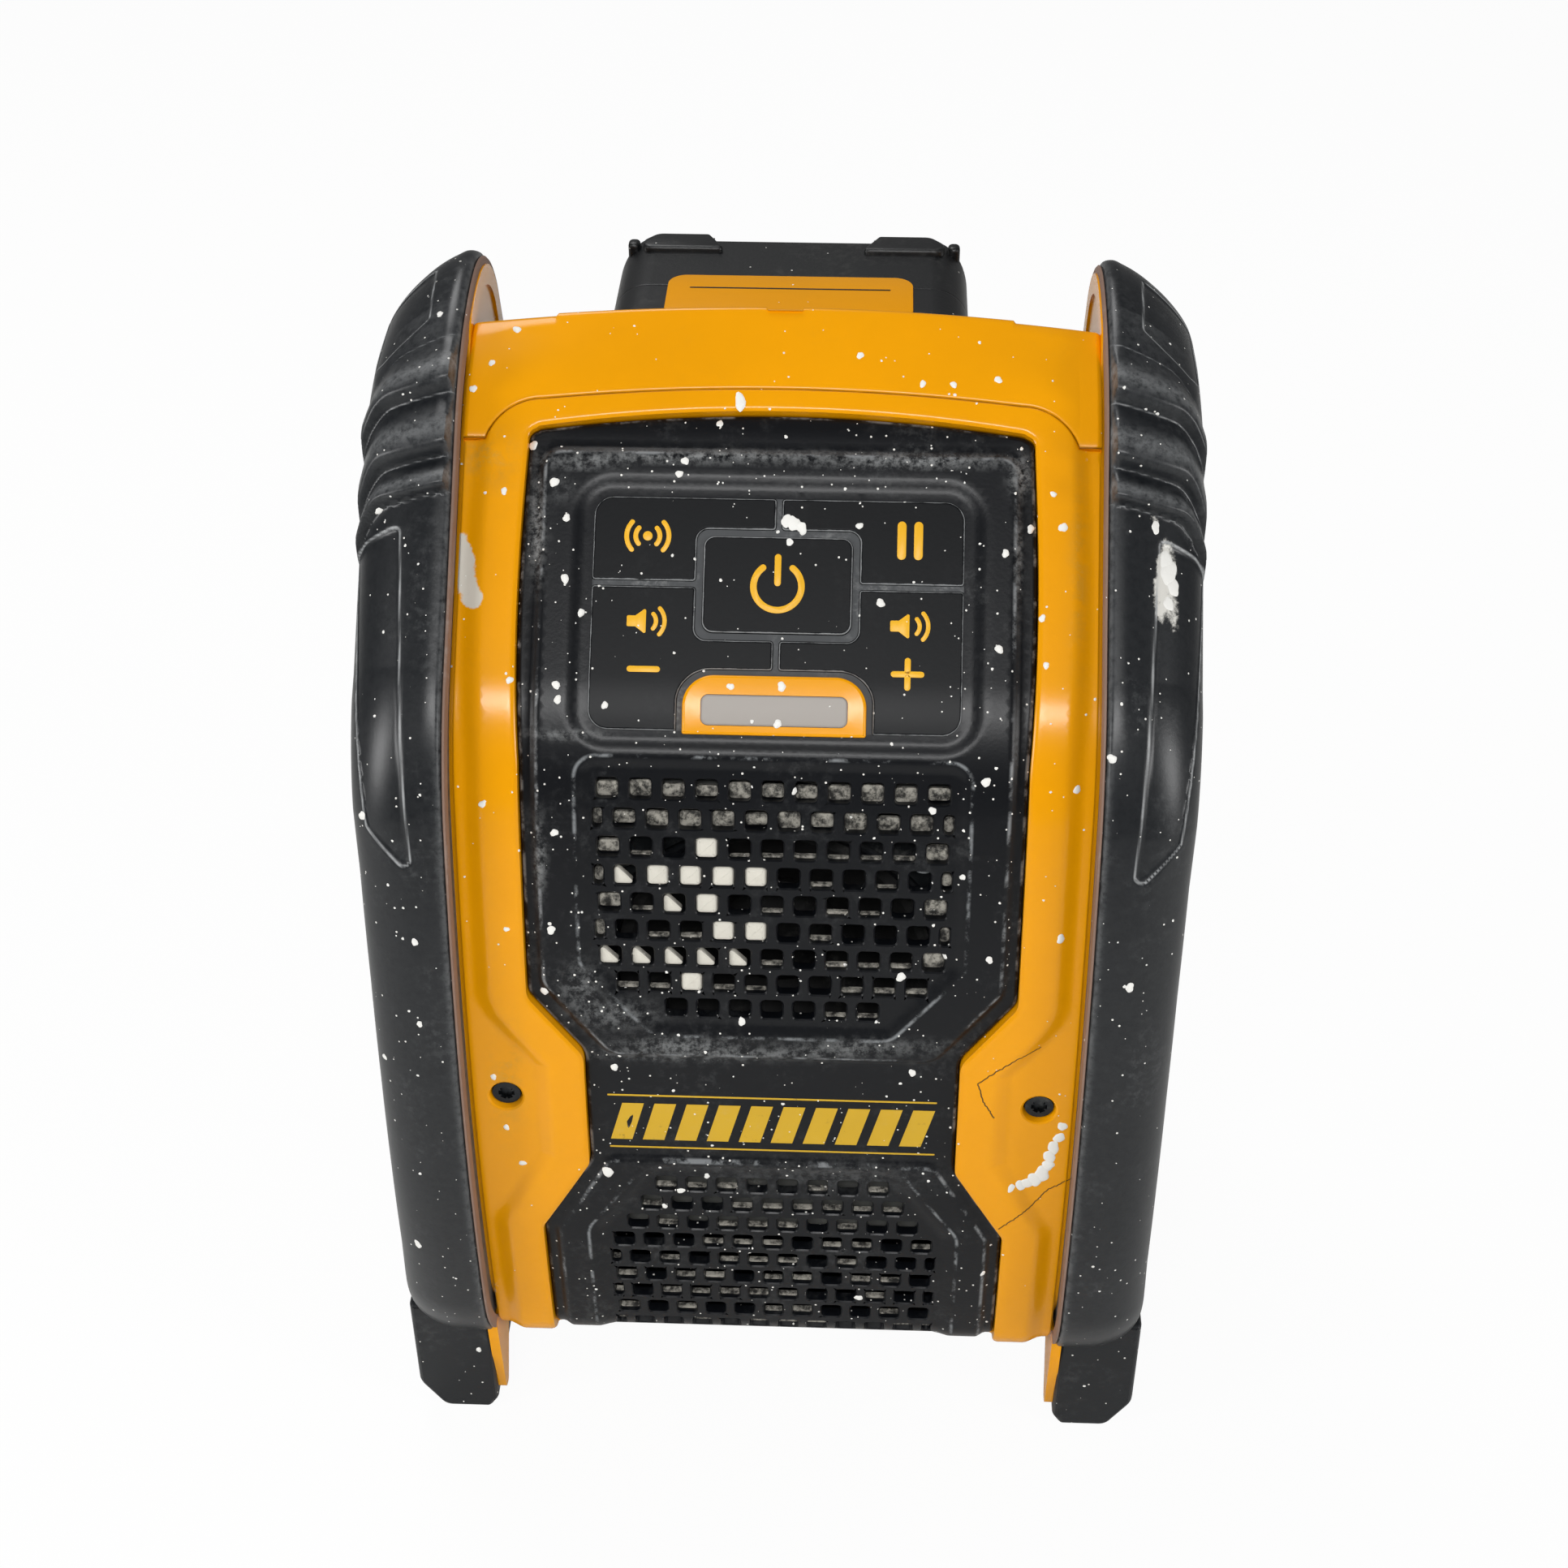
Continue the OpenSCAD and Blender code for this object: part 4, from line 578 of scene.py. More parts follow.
# %% Front surface
def chain(arcs):
    """Points and leans along arcs (centre, radius, from, to, pitch), with straight runs in between."""
    places, leans = [], []
    for c, r, a, b, pitch in arcs:
        t = np.linspace(a, b, max(3, int(np.ceil(r * abs(b - a) / pitch)) + 1))
        if places:
            gap = np.linalg.norm(c + r * facing(t[0]) - places[-1][-1])
            k = np.linspace(0, 1, int(np.ceil(gap / pitch)) + 1)[1:-1, None]
            places.append(places[-1][-1] + (c + r * facing(t[0]) - places[-1][-1]) * k)
            leans.append(np.full(len(k), a))
        places.append(c + r * facing(t))
        leans.append(t)
    places, leans = np.concatenate(places), np.concatenate(leans)
    length = np.concatenate([[0], np.cumsum(np.linalg.norm(np.diff(places, axis=0), axis=1))])
    fresh = np.concatenate([[True], np.diff(length) > 1e-6])
    return places[fresh], leans[fresh], length[fresh]


front_yz, front_lean, front_s = chain([
    (chin_c, CHIN_R, -np.pi / 2, chin_lean, FINE), (belly_c, BELLY_R, chin_lean, bend_lean, FINE),
    (bend_c, BEND_R, bend_lean, slope_lean, FINE),
    (crown_c, CROWN_R, slope_lean, np.radians(CROWN_END), FINE)])
S_SLOPE = float(np.interp(slope_1[1], front_yz[:, 1], front_s)) - SLOPE_LEN


def on_front(points):
    """Rows of (x, distance along the front, depth) to space: the chain's point, moved in by the depth."""
    x, s, d = np.asarray(points, float).T
    lean = np.interp(s, front_s, front_lean)
    y = np.interp(s, front_s, front_yz[:, 0]) + d * np.cos(lean)
    z = np.interp(s, front_s, front_yz[:, 1]) - d * np.sin(lean)
    return np.column_stack([x, y, z])


def along(z, d=0.0):
    """Distance along the front of height z on the surface at depth d."""
    return np.interp(z, front_yz[:, 1] - d * np.sin(front_lean), front_s)


def from_keypad(points):
    """Rows of (x, distance up the slope, height above the slope's surface) to space."""
    x, w, h = np.asarray(points, float).T
    return on_front(np.column_stack([x, S_SLOPE + w, -h]))


def wall(ring, deep, flip=False):
    """Wall from a closed ring of (x, distance, depth) rows inwards by `deep`; flipped, it faces the middle."""
    points = on_front(np.concatenate([ring + [0, 0, deep], ring]))
    return points, quads(2, len(ring), wrap_cols=True, flip=flip)


print("front is", round(float(front_s[-1]), 1), "mm along; the slope starts at", round(S_SLOPE, 1))

# %% [markdown]
# ## Outline of the black panel
# The panel is wide at the keypad, narrows to a waist and flares again at the chin. The same outline is the
# inner edge of the yellow frame, so it is made once, in (x, distance along the front). Its top edge is a
# shallow arch, and beside the keypad its sides bulge by a millimetre.

# %% Panel outline
PANEL_HALF, WAIST_HALF, PANEL_D = 50.2, 39.0, 1.0
FLARES = [(PANEL_HALF, 68.0), (WAIST_HALF, 88.0), (WAIST_HALF, 118.0), (PANEL_HALF, 132.5)]
TOP_Z, TOP_RISE, BOTTOM_S, CORNER_R = 232.5, 2.8, 3.0, [0.5, 3, 4, 6, 4, 2.0]
BULGE, BULGE_Z, BULGE_X = 1.0, 183, 45


def s_at(*points):
    """Corners given as (x, z) on the panel, as (x, distance along the front)."""
    return [(x, float(along(z, PANEL_D))) for x, z in points]


def both_sides(right):
    """Closed loop of corners: the right side upwards, then its mirror image downwards."""
    return np.array(right + [(-x, s) for x, s in right[::-1]])


panel_right = [(PANEL_HALF, BOTTOM_S), *s_at(*FLARES, (PANEL_HALF, TOP_Z))]
top_s = panel_right[-1][1]
arch_rise = float(along(TOP_Z + TOP_RISE, PANEL_D)) - top_s
panel_loop = refine(rounded(both_sides(panel_right), CORNER_R + CORNER_R[::-1], 0.6), 1.2)
on_top = panel_loop[:, 1] > top_s - 0.01
panel_loop[on_top, 1] += arch_rise * np.clip(1 - (panel_loop[on_top, 0] / PANEL_HALF) ** 2, 0, None)
bulge_0, bulge_1 = along(BULGE_Z, PANEL_D), top_s - 3
bulge = np.sin(np.clip((panel_loop[:, 1] - bulge_0) / (bulge_1 - bulge_0), 0, 1) * np.pi)
panel_loop[:, 0] += np.sign(panel_loop[:, 0]) * BULGE * bulge * (np.abs(panel_loop[:, 0]) > BULGE_X)
print("panel outline", len(panel_loop), "points, top at", round(top_s, 1), "rise", round(arch_rise, 1))

# %% [markdown]
# ## The black panel
# The real panel is one moulding with a sunken rim, a raised field, a dish round the keys and two perforated
# grilles. A plain grid can't carry nearly two hundred rounded holes, so the flat outline with its holes is
# triangulated and the relief is then a function of the distance to each outline, worked out for all points
# at once. First come the holes: staggered rows of rounded squares, cut off where a row meets the field's
# edge.

# %% Grille holes
PITCH_X, PITCH_Z, HOLE, HOLE_R = 6.58, 6.1, 4.5, 0.9
FIELD_HALF = 5.5 * PITCH_X
UPPER_Z, LOWER_Z = 178.6, 81.2
UPPER_COUNTS, LOWER_COUNTS = [11, 12, 11, 12, 11, 12, 11, 10, 7], [8, 9, 10, 11, 12, 11, 12, 11, 12]


def grille(top_z, counts):
    """Centres and half widths of the holes of one field, and the row that each is in."""
    row = np.repeat(np.arange(len(counts)), counts)
    nth = np.arange(len(row)) - np.repeat(np.cumsum(counts) - counts, counts)
    x = (nth - (np.repeat(counts, counts) - 1) / 2) * PITCH_X
    lo, hi = np.clip(x - HOLE / 2, -FIELD_HALF + 0.2, None), np.clip(x + HOLE / 2, None, FIELD_HALF - 0.2)
    s = along(top_z - row * PITCH_Z, PANEL_D)
    return np.column_stack([(lo + hi) / 2, s, (hi - lo) / 2, np.full(len(s), HOLE / 2)]), row


upper_holes, upper_row = grille(UPPER_Z, UPPER_COUNTS)
lower_holes, lower_row = grille(LOWER_Z, LOWER_COUNTS)
holes = np.concatenate([upper_holes, lower_holes])
hole_corners = np.repeat([[1, 1], [-1, 1], [-1, -1], [1, -1]], 4, 0)
hole_turn = np.radians(np.linspace(0, 90, 4)[None, :] + np.array([0, 90, 180, 270])[:, None]).ravel()
round_dir = np.column_stack([np.cos(hole_turn), np.sin(hole_turn)])


def hole_loops(grow):
    """Rims of all holes at once: each corner's middle plus an arc of HOLE_R, moved out by grow."""
    middles = hole_corners * np.maximum(holes[:, None, 2:] - HOLE_R, 0.05)
    return holes[:, None, :2] + middles + round_dir * (HOLE_R + grow)


def near_hole(points, margin):
    """True within a margin of the square of any hole."""
    return (np.abs(points[:, None, :] - holes[None, :, :2]) < holes[None, :, 2:] + margin).all(2).any(1)


print(len(holes), "holes")

# %% [markdown]
# ### Relief of the panel
# Five outlines shape the panel: the keypad opening, the raised fields above and below the waist, and the two
# grilles. Each step of the relief is a smooth step in the distance to one of them, and the depths add up.

# %% Panel relief
KEYS_HALF, KEYS_W0, KEYS_W1, KEYS_R = 36.8, 0.2, 47.4, 4.0
RIM, RIM_SINK, EDGE_ROLL, TOP_SINK, DISH, GRILLE_SINK = 3.6, 1.1, 0.5, 0.35, 0.75, 0.9
keypad_loop = box_outline(2 * KEYS_HALF, KEYS_W1 - KEYS_W0, KEYS_R) + [0, S_SLOPE + (KEYS_W0 + KEYS_W1) / 2]
field_x, mesh_x = PANEL_HALF - RIM, FIELD_HALF + 0.2
up_right = [*s_at((33.2, 118.5), (field_x, 135.5)), (field_x, top_s - 4.6)]
upper_field = rounded(both_sides(up_right), [5, 4, 3, 3, 4, 5], 0.6)
low_right = [(field_x, BOTTOM_S + 1), *s_at((field_x, 66.5), (WAIST_HALF - RIM - 0.6, 88.3))]
lower_field = rounded(both_sides(low_right), [0.5, 3, 3, 3, 3, 0.5], 0.6)
upper_mesh = rounded(both_sides(s_at((FIELD_HALF - 13, 126.2), (mesh_x, 141.5), (mesh_x, 182.2))), 1.5)
mesh_right = [(mesh_x, BOTTOM_S + 0.5), *s_at((mesh_x, 66), (FIELD_HALF - 12, 84.8))]
lower_mesh = rounded(both_sides(mesh_right), 1.5)


def panel_depth(flat):
    """Depth of the panel below the front skin: the sum of rolled edge, sunken rim, key dish and grilles."""
    edge = depth_inside(flat, panel_loop)
    raised = np.maximum(depth_inside(flat, upper_field), depth_inside(flat, lower_field))
    d = PANEL_D + RIM_SINK * (1 - step(-2.0, 0.4, raised))
    d += EDGE_ROLL * np.clip(1 - edge / 0.6, 0, 1) ** 2
    d += TOP_SINK * np.clip((flat[:, 1] - top_s) / arch_rise, 0, 1)
    d += DISH * step(-4.8, -1.4, depth_inside(flat, keypad_loop))
    upper_sunk = step(-3.0, 0.0, depth_inside(flat, upper_mesh))
    lower_sunk = step(-4.2, 0.0, depth_inside(flat, lower_mesh))
    return d + GRILLE_SINK * np.maximum(upper_sunk, lower_sunk)


def with_depth(flat, depth):
    """Rows of (x, distance) with the depth that a relief function gives there."""
    return np.column_stack([flat, depth(flat)])


print("fields of", len(upper_field), "and", len(lower_field), "points")

# %% [markdown]
# ### Points of the panel
# The triangulation needs points where the relief bends: copies of the outlines, moved in or out to the start
# and end of each step, and a staggered lattice in between that keeps clear of the holes.

# %% Panel points
CHAMFER, THROAT = 0.28, -0.15
FIELD_STEPS = (0.4, -0.2, -0.8, -1.4, -2.0)
RELIEF_STEPS = [(upper_field, FIELD_STEPS), (lower_field, FIELD_STEPS),
                (keypad_loop, (0.0, -1.4, -2.2, -3.1, -4.0, -4.8)), (upper_mesh, (0, -1.5, -3.0)),
                (lower_mesh, (0, -2.1, -4.2)), (panel_loop, (0.25, 0.6, 1.0))]
relief_lines = [refine(inset(loop, move), 1.2) for loop, moves in RELIEF_STEPS for move in moves]
rims = hole_loops(CHAMFER)
grid = np.concatenate([lattice(1.7, BOTTOM_S, top_s + arch_rise, PANEL_HALF),
                       lattice(0.8, S_SLOPE - 8, S_SLOPE + 1, PANEL_HALF)])
grid = grid[(depth_inside(grid, panel_loop) > 1.4) & (depth_inside(grid, keypad_loop) < -0.5)]
grid = grid[~near_hole(grid, 0.55)]


def in_panel(points):
    """True between the panel's edge, the keypad opening and the holes."""
    inside = (depth_inside(points, panel_loop) > 0) & (depth_inside(points, keypad_loop) < 0)
    return inside & ~near_hole(points, 0.2)


flat, tris = plate([panel_loop, *relief_lines, *rims], grid, in_panel)
print("panel plate", len(flat), "points", len(tris), "triangles")

# %% [markdown]
# ### The panel as a piece
# Each hole gets a chamfer and a wall: three rings of points, joined by quads, for all holes in one array. The
# panel's edge and the keypad opening get walls as well, so that no edge looks like paper.

# %% Panel piece
rim_flat = rims.reshape(-1, 2)
rim_depth = panel_depth(rim_flat)
hole_rings = np.concatenate([np.column_stack([loops.reshape(-1, 2), rim_depth + deep]) for loops, deep in
                             ((rims, 0.0), (hole_loops(0.0), 0.3), (hole_loops(THROAT), 2.4))])
k = np.arange(len(rim_flat))
k_next = k - k % rims.shape[1] + (k + 1) % rims.shape[1]
ring_faces = np.column_stack([k, k_next, k_next + len(k), k + len(k)])[:, ::-1]
hole_faces = np.concatenate([ring_faces, ring_faces + len(k)])
panel_points, panel_faces = merge(
    (on_front(with_depth(flat, panel_depth)), tris), (on_front(hole_rings), hole_faces),
    wall(with_depth(panel_loop, panel_depth), 3.0),
    wall(with_depth(keypad_loop, panel_depth), 2.4, flip=True))
panel = piece("front_panel_moulding", panel_points, panel_faces, black_abs, stands_for=["front_panel"],
              slot="black_plastic", crease=32)
print("panel", len(panel_points), "points")

# %% [markdown]
# ### Dust, scuffs and painted highlights on the panel
# Pale lines follow the edges of the relief, partly scuffs and partly painted highlight: the mask holds the
# distance to the nearest one, in mm. Dust, and along some edges of the relief a painted highlight, lies in soft
# spots that were read off the photograph: pixel, radius and strength.

# %% Panel dirt
FAR_MM = 3.0
# Spots of dust; the long thin bands follow edges of the relief and are partly painted highlight.
PANEL_DUST_AND_HIGHLIGHT = [(662, 655, 8, 50, 0.8), (860, 562, 160, 6, 0.7), (720, 570, 40, 5, 0.7),
              (692, 602, 14, 14, 0.2), (760, 1250, 45, 16, 0.4), (830, 1288, 70, 9, 0.5),
              (715, 1215, 22, 26, 0.4), (665, 1060, 6, 40, 0.6), (900, 1300, 150, 6, 0.5),
              (1130, 568, 110, 7, 0.7), (1258, 588, 12, 18, 0.8), (700, 905, 40, 6, 0.5),
              (1255, 690, 5, 60, 0.4), (1060, 1290, 90, 8, 0.4), (1020, 1450, 120, 20, 0.15)]
# Edges whose pale lines are partly scuffs and partly painted highlight.
EDGE_LINES_SCUFF_AND_HIGHLIGHT = ((upper_field, 0.2), (lower_field, 0.2), (upper_mesh, 3.0), (lower_mesh, 4.2), (panel_loop, -0.3))
relief_edge = np.min([np.abs(depth_inside(flat, loop) + out) for loop, out in EDGE_LINES_SCUFF_AND_HIGHLIGHT], 0)
wall_edge = np.full(len(panel_points) - len(flat), FAR_MM)
mask(panel, "edge_mm", np.concatenate([np.clip(relief_edge, 0, FAR_MM), wall_edge]))
mask(panel, "dust", patches(panel_points, PANEL_DUST_AND_HIGHLIGHT))
print(len(PANEL_DUST_AND_HIGHLIGHT), "spots of dust on the panel")

# %% [markdown]
# ## The yellow frame
# The frame is a raised rim that follows the panel's outline, then a soft facet down to a flat that meets the
# guards. It is a triangulated plate again, with rows of points along the rim and the facet, and its relief is
# a function of the distance to the panel's outline. At the top it ends at an arched seam.

# %% Frame outline
SEAM_Z, SEAM_TOP_Z, SEAM_HALF, SEAM_R, SEAM_W, SEAM_ARCH = 231.4, 238.7, 59.6, 8.0, 12.0, 1.7
SCREW_X, SCREW_Z, SCREW_R = 56.3, 106.0, 4.0


def seam_height(x):
    """Height of the seam between frame and cap: a flat shoulder, an elliptic corner and a shallow arch."""
    ax = np.abs(x)
    corner_x = SEAM_HALF - SEAM_W
    corner_z = SEAM_TOP_Z - SEAM_ARCH - SEAM_R
    arc = corner_z + SEAM_R * np.sqrt(1 - (np.clip(ax - corner_x, 0, SEAM_W) / SEAM_W) ** 2)
    top = SEAM_TOP_Z - SEAM_ARCH * np.clip(ax / corner_x, 0, 1) ** 2
    return np.where(ax > SEAM_HALF, SEAM_Z, np.where(ax > corner_x, np.maximum(arc, SEAM_Z), top))


seam_x = np.concatenate([np.linspace(0, 47, 48), np.linspace(47.4, 58, 22), np.linspace(58.1, 59.6, 12),
                         [59.62, 61, 62.6, 63.2, BODY_HALF]])
seam_x = np.concatenate([-seam_x[:0:-1], seam_x])
seam_s = along(seam_height(seam_x), 0.4)
foot_cut = np.array([[58.0, 0.0], [60.5, 2.2], [62.3, 5.5], [63.2, 9.5], [BODY_HALF, 14.0]])
seam_track = np.column_stack([seam_x, seam_s])[::-1]
frame_outline = refine(np.concatenate([foot_cut, seam_track, (foot_cut * [-1, 1])[::-1]]), 2.0)
inner_edge = inset(panel_loop, -0.25)
screw_places = np.array([[sx * SCREW_X, float(along(SCREW_Z))] for sx in (-1, 1)])
print("frame outline", len(frame_outline), "points")

# %% [markdown]
# ### The frame as a piece
# Two screws hold the frame at its waist, each in a round hollow with a chamfer.

# %% Frame piece
RIM_W, FACET_W, FACET_DROP, INNER_ROLL, OUTER_ROLL = 8.4, 3.0, 1.5, 0.45, 0.35
RIM_TRACKS = (0.6, 1.2, RIM_W - 1.4, RIM_W - 0.6, RIM_W + 0.2, RIM_W + 1.0, RIM_W + 2.0, RIM_W + FACET_W)
SCREW_SINK = [(4.0, 0.0), (3.6, 0.25), (3.3, 0.9), (3.2, 2.2)]


def frame_depth(flat):
    """Depth of the frame: rolled inner edge, flat rim, facet and outer flat, with rolled outer edges."""
    out, side = -depth_inside(flat, panel_loop), depth_inside(flat, frame_outline)
    d = INNER_ROLL * np.clip(1 - (out - 0.25) / 0.9, 0, 1) ** 2
    d += FACET_DROP * step(RIM_W - 1.4, RIM_W + FACET_W, out)
    return d + OUTER_ROLL * np.clip(1 - side / 0.5, 0, 1) ** 2


def from_screw(points):
    """Distance of points to the nearer of the two screws."""
    return np.min([np.hypot(*(points - c).T) for c in screw_places], 0)


def in_frame(points):
    """True between the panel's outline and the frame's own outline, outside the two screw holes."""
    between = (depth_inside(points, frame_outline) > 0) & (depth_inside(points, inner_edge) < 0)
    return between & (from_screw(points) > SCREW_R - 0.05)


ring = np.radians(np.arange(0, 360, 15))
screw_rims = [c + SCREW_R * np.column_stack([np.cos(ring), np.sin(ring)]) for c in screw_places]
frame_grid = lattice(1.3, BOTTOM_S, front_s[-1], BODY_HALF)
clear = (depth_inside(frame_grid, frame_outline) > 1.1) & (depth_inside(frame_grid, panel_loop) < -1.5)
frame_grid = [frame_grid[clear & (from_screw(frame_grid) > SCREW_R + 0.6)]]
for out in RIM_TRACKS:
    track = inset(refine(panel_loop, 1.0), -out)
    frame_grid.append(track[(depth_inside(track, frame_outline) > 0.9) & (track[:, 1] > BOTTOM_S)])
edge_lines = [inset(frame_outline, d) for d in (0.35, 0.8)]
frame_loops = [frame_outline, inner_edge, *edge_lines, *screw_rims]
flat, tris = plate(frame_loops, np.concatenate(frame_grid), in_frame)
parts = [(on_front(with_depth(flat, frame_depth)), tris),
         wall(with_depth(inner_edge, frame_depth), 4, flip=True),
         wall(with_depth(frame_outline, frame_depth), 2.2)]
for c, rim in zip(screw_places, screw_rims):
    rim_depth = frame_depth(rim)
    rings = [np.column_stack([c + (rim - c) * r / SCREW_R, rim_depth + deep]) for r, deep in SCREW_SINK]
    parts.append((on_front(np.concatenate(rings)), quads(len(rings), len(rim), wrap_cols=True, flip=True)))
frame_points, frame_faces = merge(*parts)
bezel_frame = piece("yellow_front_frame", frame_points, frame_faces, yellow_abs, stands_for=["front_frame"],
                    slot="yellow_plastic", crease=32)
FRAME_WEAR = [(566, 672, 17, 24, 0.66), (572, 708, 20, 32, 0.82), (584, 738, 13, 15, 0.7),
              (1338, 540, 10, 60, 0.5), (1300, 1400, 10, 30, 0.5), (610, 1590, 12, 25, 0.5)]
FRAME_DUST = [(600, 560, 30, 30, 0.5), (625, 1330, 20, 60, 0.35), (1330, 700, 10, 120, 0.3)]
mask(bezel_frame, "wear", patches(frame_points, FRAME_WEAR))
mask(bezel_frame, "dust", patches(frame_points, FRAME_DUST))
print("frame", len(frame_points), "points")

# %% [markdown]
# ## The cap
# The cap closes the top behind the arched seam, and falls off a little to the sides. It has no holes, so a
# plain grid does: columns across, and rows from the seam to the rear edge. The rear edge has a step near each
# end and a small notch in the middle. A painted shade darkens the seam, by the distance to the cap's front row.

# %% Cap
CAP_CROWN, CAP_RISE, STEP_X, STEP_DROP, NOTCH_X, NOTCH = 510.0, 3.2, 46.3, 0.6, 3.6, 1.0
cap_x = np.unique(np.concatenate([seam_x, np.linspace(-BODY_HALF, BODY_HALF, 128),
                                  [-46.6, -46.0, 46.0, 46.6, -3.7, -3.5, 3.5, 3.7]]))
cap_v = np.concatenate([[0, 0.012, 0.03, 0.06], np.linspace(0.1, 0.94, 26), [0.965, 0.985, 1.0]])
upper = front_s > S_SLOPE
rear_s = float(np.interp(CAP_REAR, front_yz[upper, 0], front_s[upper]))
low_s = along(seam_height(cap_x), 0.2) + 0.25
S = low_s[None, :] + (rear_s - low_s)[None, :] * cap_v[:, None]
X = np.broadcast_to(cap_x, S.shape)
D = 0.4 * np.clip(1 - (S - low_s[None, :]) / 0.6, 0, 1) ** 2
D = D + 0.6 * np.clip(1 - (rear_s - S) / 0.9, 0, 1) ** 2
D = D + 0.6 * np.clip(1 - (BODY_HALF - np.abs(X)) / 0.9, 0, 1) ** 2
cap = on_front(np.column_stack([X.ravel(), S.ravel(), D.ravel()])).reshape(*S.shape, 3)
cap[..., 2] -= step(0, 1, cap_v)[:, None] * X ** 2 / (2 * CAP_CROWN)
cap[..., 2] -= STEP_DROP * step(0.86, 1, cap_v)[:, None] * (np.abs(X) > STEP_X)
cap[..., 2] += CAP_RISE * cap_v[:, None] ** 1.5
cap[-3:, :, 1] -= NOTCH * (np.abs(cap_x) < NOTCH_X)
cap_points, cap_faces = merge(
    (cap.reshape(-1, 3), quads(*S.shape)),
    (np.concatenate([cap[-1], cap[-1] - [0, 0, 9]]), quads(2, len(cap_x))),
    (np.concatenate([cap[0] + [0, 1.6, -1.6], cap[0]]), quads(2, len(cap_x))),
    (np.concatenate([cap[:, -1] - [0, 0, 2.5], cap[:, -1]]), quads(2, len(cap), flip=True)),
    (np.concatenate([cap[:, 0] - [0, 0, 2.5], cap[:, 0]]), quads(2, len(cap))))
cap_piece = piece("yellow_top_cap", cap_points, cap_faces, cap_abs_seam_shade, stands_for=["top_cap"],
                  slot="yellow_plastic", crease=32)
seam_shade_mm = np.min(np.linalg.norm(cap_points[:, None] - cap[0][None], axis=2), 1)
# The "edge_mm" mask here draws the painted shade along the seam.
mask(cap_piece, "edge_mm", np.minimum(seam_shade_mm, FAR_MM))
print("cap", len(cap_points), "points")

# %% [markdown]
# ## The keys
# Four corner keys share the field round a power key and a yellow status tab. Each is a block with a rolled
# edge, and its top follows the front. A key is one outline with inner corners, which a cube with a bevel
# couldn't give. Rubbed edges are a mask that is strongest on the rolled rings.

# %% Keys
POWER_W, POWER_H, POWER_C, POWER_GROOVE, GROOVE = 29.5, 19.4, 29.9, 1.5, 1.25
TAB_W, TAB_H, POWER_LIFT = 36.2, 11.4, 0.35
KEY_TOP = -(PANEL_D + 0.62)
RUBBED = [0, 0.2, 0.6, 0.65, 0.4, 0.0]
gap = GROOVE / 2
block_x, block_half = POWER_W / 2 + POWER_GROOVE, POWER_H / 2
block_lo, block_hi = POWER_C - block_half - POWER_GROOVE, POWER_C + block_half + POWER_GROOVE
tab_x, tab_top = TAB_W / 2 + GROOVE, KEYS_W0 + TAB_H + GROOVE
upper_key = [(KEYS_HALF, POWER_C + gap), (KEYS_HALF, KEYS_W1), (gap, KEYS_W1), (gap, block_hi),
             (block_x, block_hi), (block_x, POWER_C + gap)]
lower_key = [(tab_x, KEYS_W0), (KEYS_HALF, KEYS_W0), (KEYS_HALF, POWER_C - gap), (block_x, POWER_C - gap),
             (block_x, block_lo), (gap, block_lo), (gap, tab_top), (tab_x, tab_top)]
key_loops = {"pause": rounded(upper_key, [0.6, KEYS_R, 0.6, 0.6, 2.4, 0.6], 0.35),
             "volume_up": rounded(lower_key, [0.3, KEYS_R, 0.6, 0.6, 2.4, 0.6, 0.6, 6.8], 0.35)}
key_loops["pairing"] = (key_loops["pause"] * [-1, 1])[::-1]
key_loops["volume_down"] = (key_loops["volume_up"] * [-1, 1])[::-1]
key_loops["power"] = box_outline(POWER_W, POWER_H, 2.2, 0.35) + [0, POWER_C]


def block(loop, stations):
    """Prism on the keypad whose top is filled with small triangles, so that it follows the front's bend."""
    edge, top = inset(loop, stations[-1][0]), stations[-1][1]
    grid = lattice(1.5, KEYS_W0, KEYS_W1, KEYS_HALF)
    flat, tris = plate([edge], grid[depth_inside(grid, edge) > 0.4], lambda p: depth_inside(p, edge) > 0)
    shell = prism(loop, stations, from_keypad, caps=(True, False))
    return merge(shell, (from_keypad(level(flat, top)), tris))


for name, loop in key_loops.items():
    loop = refine(loop, 1.5)
    top = KEY_TOP + (POWER_LIFT if name == "power" else 0.0)
    points, faces = block(loop, soft_edge(KEY_TOP - 2.6, top, 0.45))
    key = piece(f"{name}_key", points, faces, key_abs, body=f"{name}_button", stands_for=[f"{name}_button"],
                slot="key_plastic", crease=30)
    rubbed = np.repeat(RUBBED, len(loop))
    mask(key, "wear", np.pad(rubbed, (0, len(points) - len(rubbed))))
print(len(key_loops), "keys:", ", ".join(key_loops))

# %% [markdown]
# ## Grooves between the keys
# Between the keys lies a dusty web. It is part of the panel, with openings through which the keys move, so it
# stays in place when one is pressed.

# %% Keypad web
tab_loop = rounded([(-TAB_W / 2, KEYS_W0 - 0.6), (TAB_W / 2, KEYS_W0 - 0.6), (TAB_W / 2, KEYS_W0 + TAB_H),
                    (-TAB_W / 2, KEYS_W0 + TAB_H)], [0.4, 0.4, 6.2, 6.2], 0.35)
web_loop = inset(keypad_loop, -0.05)
web_holes = [inset(loop + [0, S_SLOPE], -0.12) for loop in key_loops.values()]
web_holes.append(inset(tab_loop + [0, S_SLOPE], 0.3))


def in_web(points):
    """True in the grooves between the keys."""
    outside = np.all([depth_inside(points, loop) < 0 for loop in web_holes], 0)
    return (depth_inside(points, web_loop) > 0) & outside


flat, tris = plate([web_loop, *web_holes], np.zeros((0, 2)), in_web)
piece("keypad_web", on_front(level(flat, -KEY_TOP + 0.35)), tris, groove_dust, slot="black_plastic")
print("web", len(flat), "points")

# %% [markdown]
# ## Status tab and lens
# A yellow tab holds a frosted window for the status light. The tab is a shell with a seat for the lens, and
# the lens stands out of it by a fifth of a millimetre, enough for its edge to catch the light.

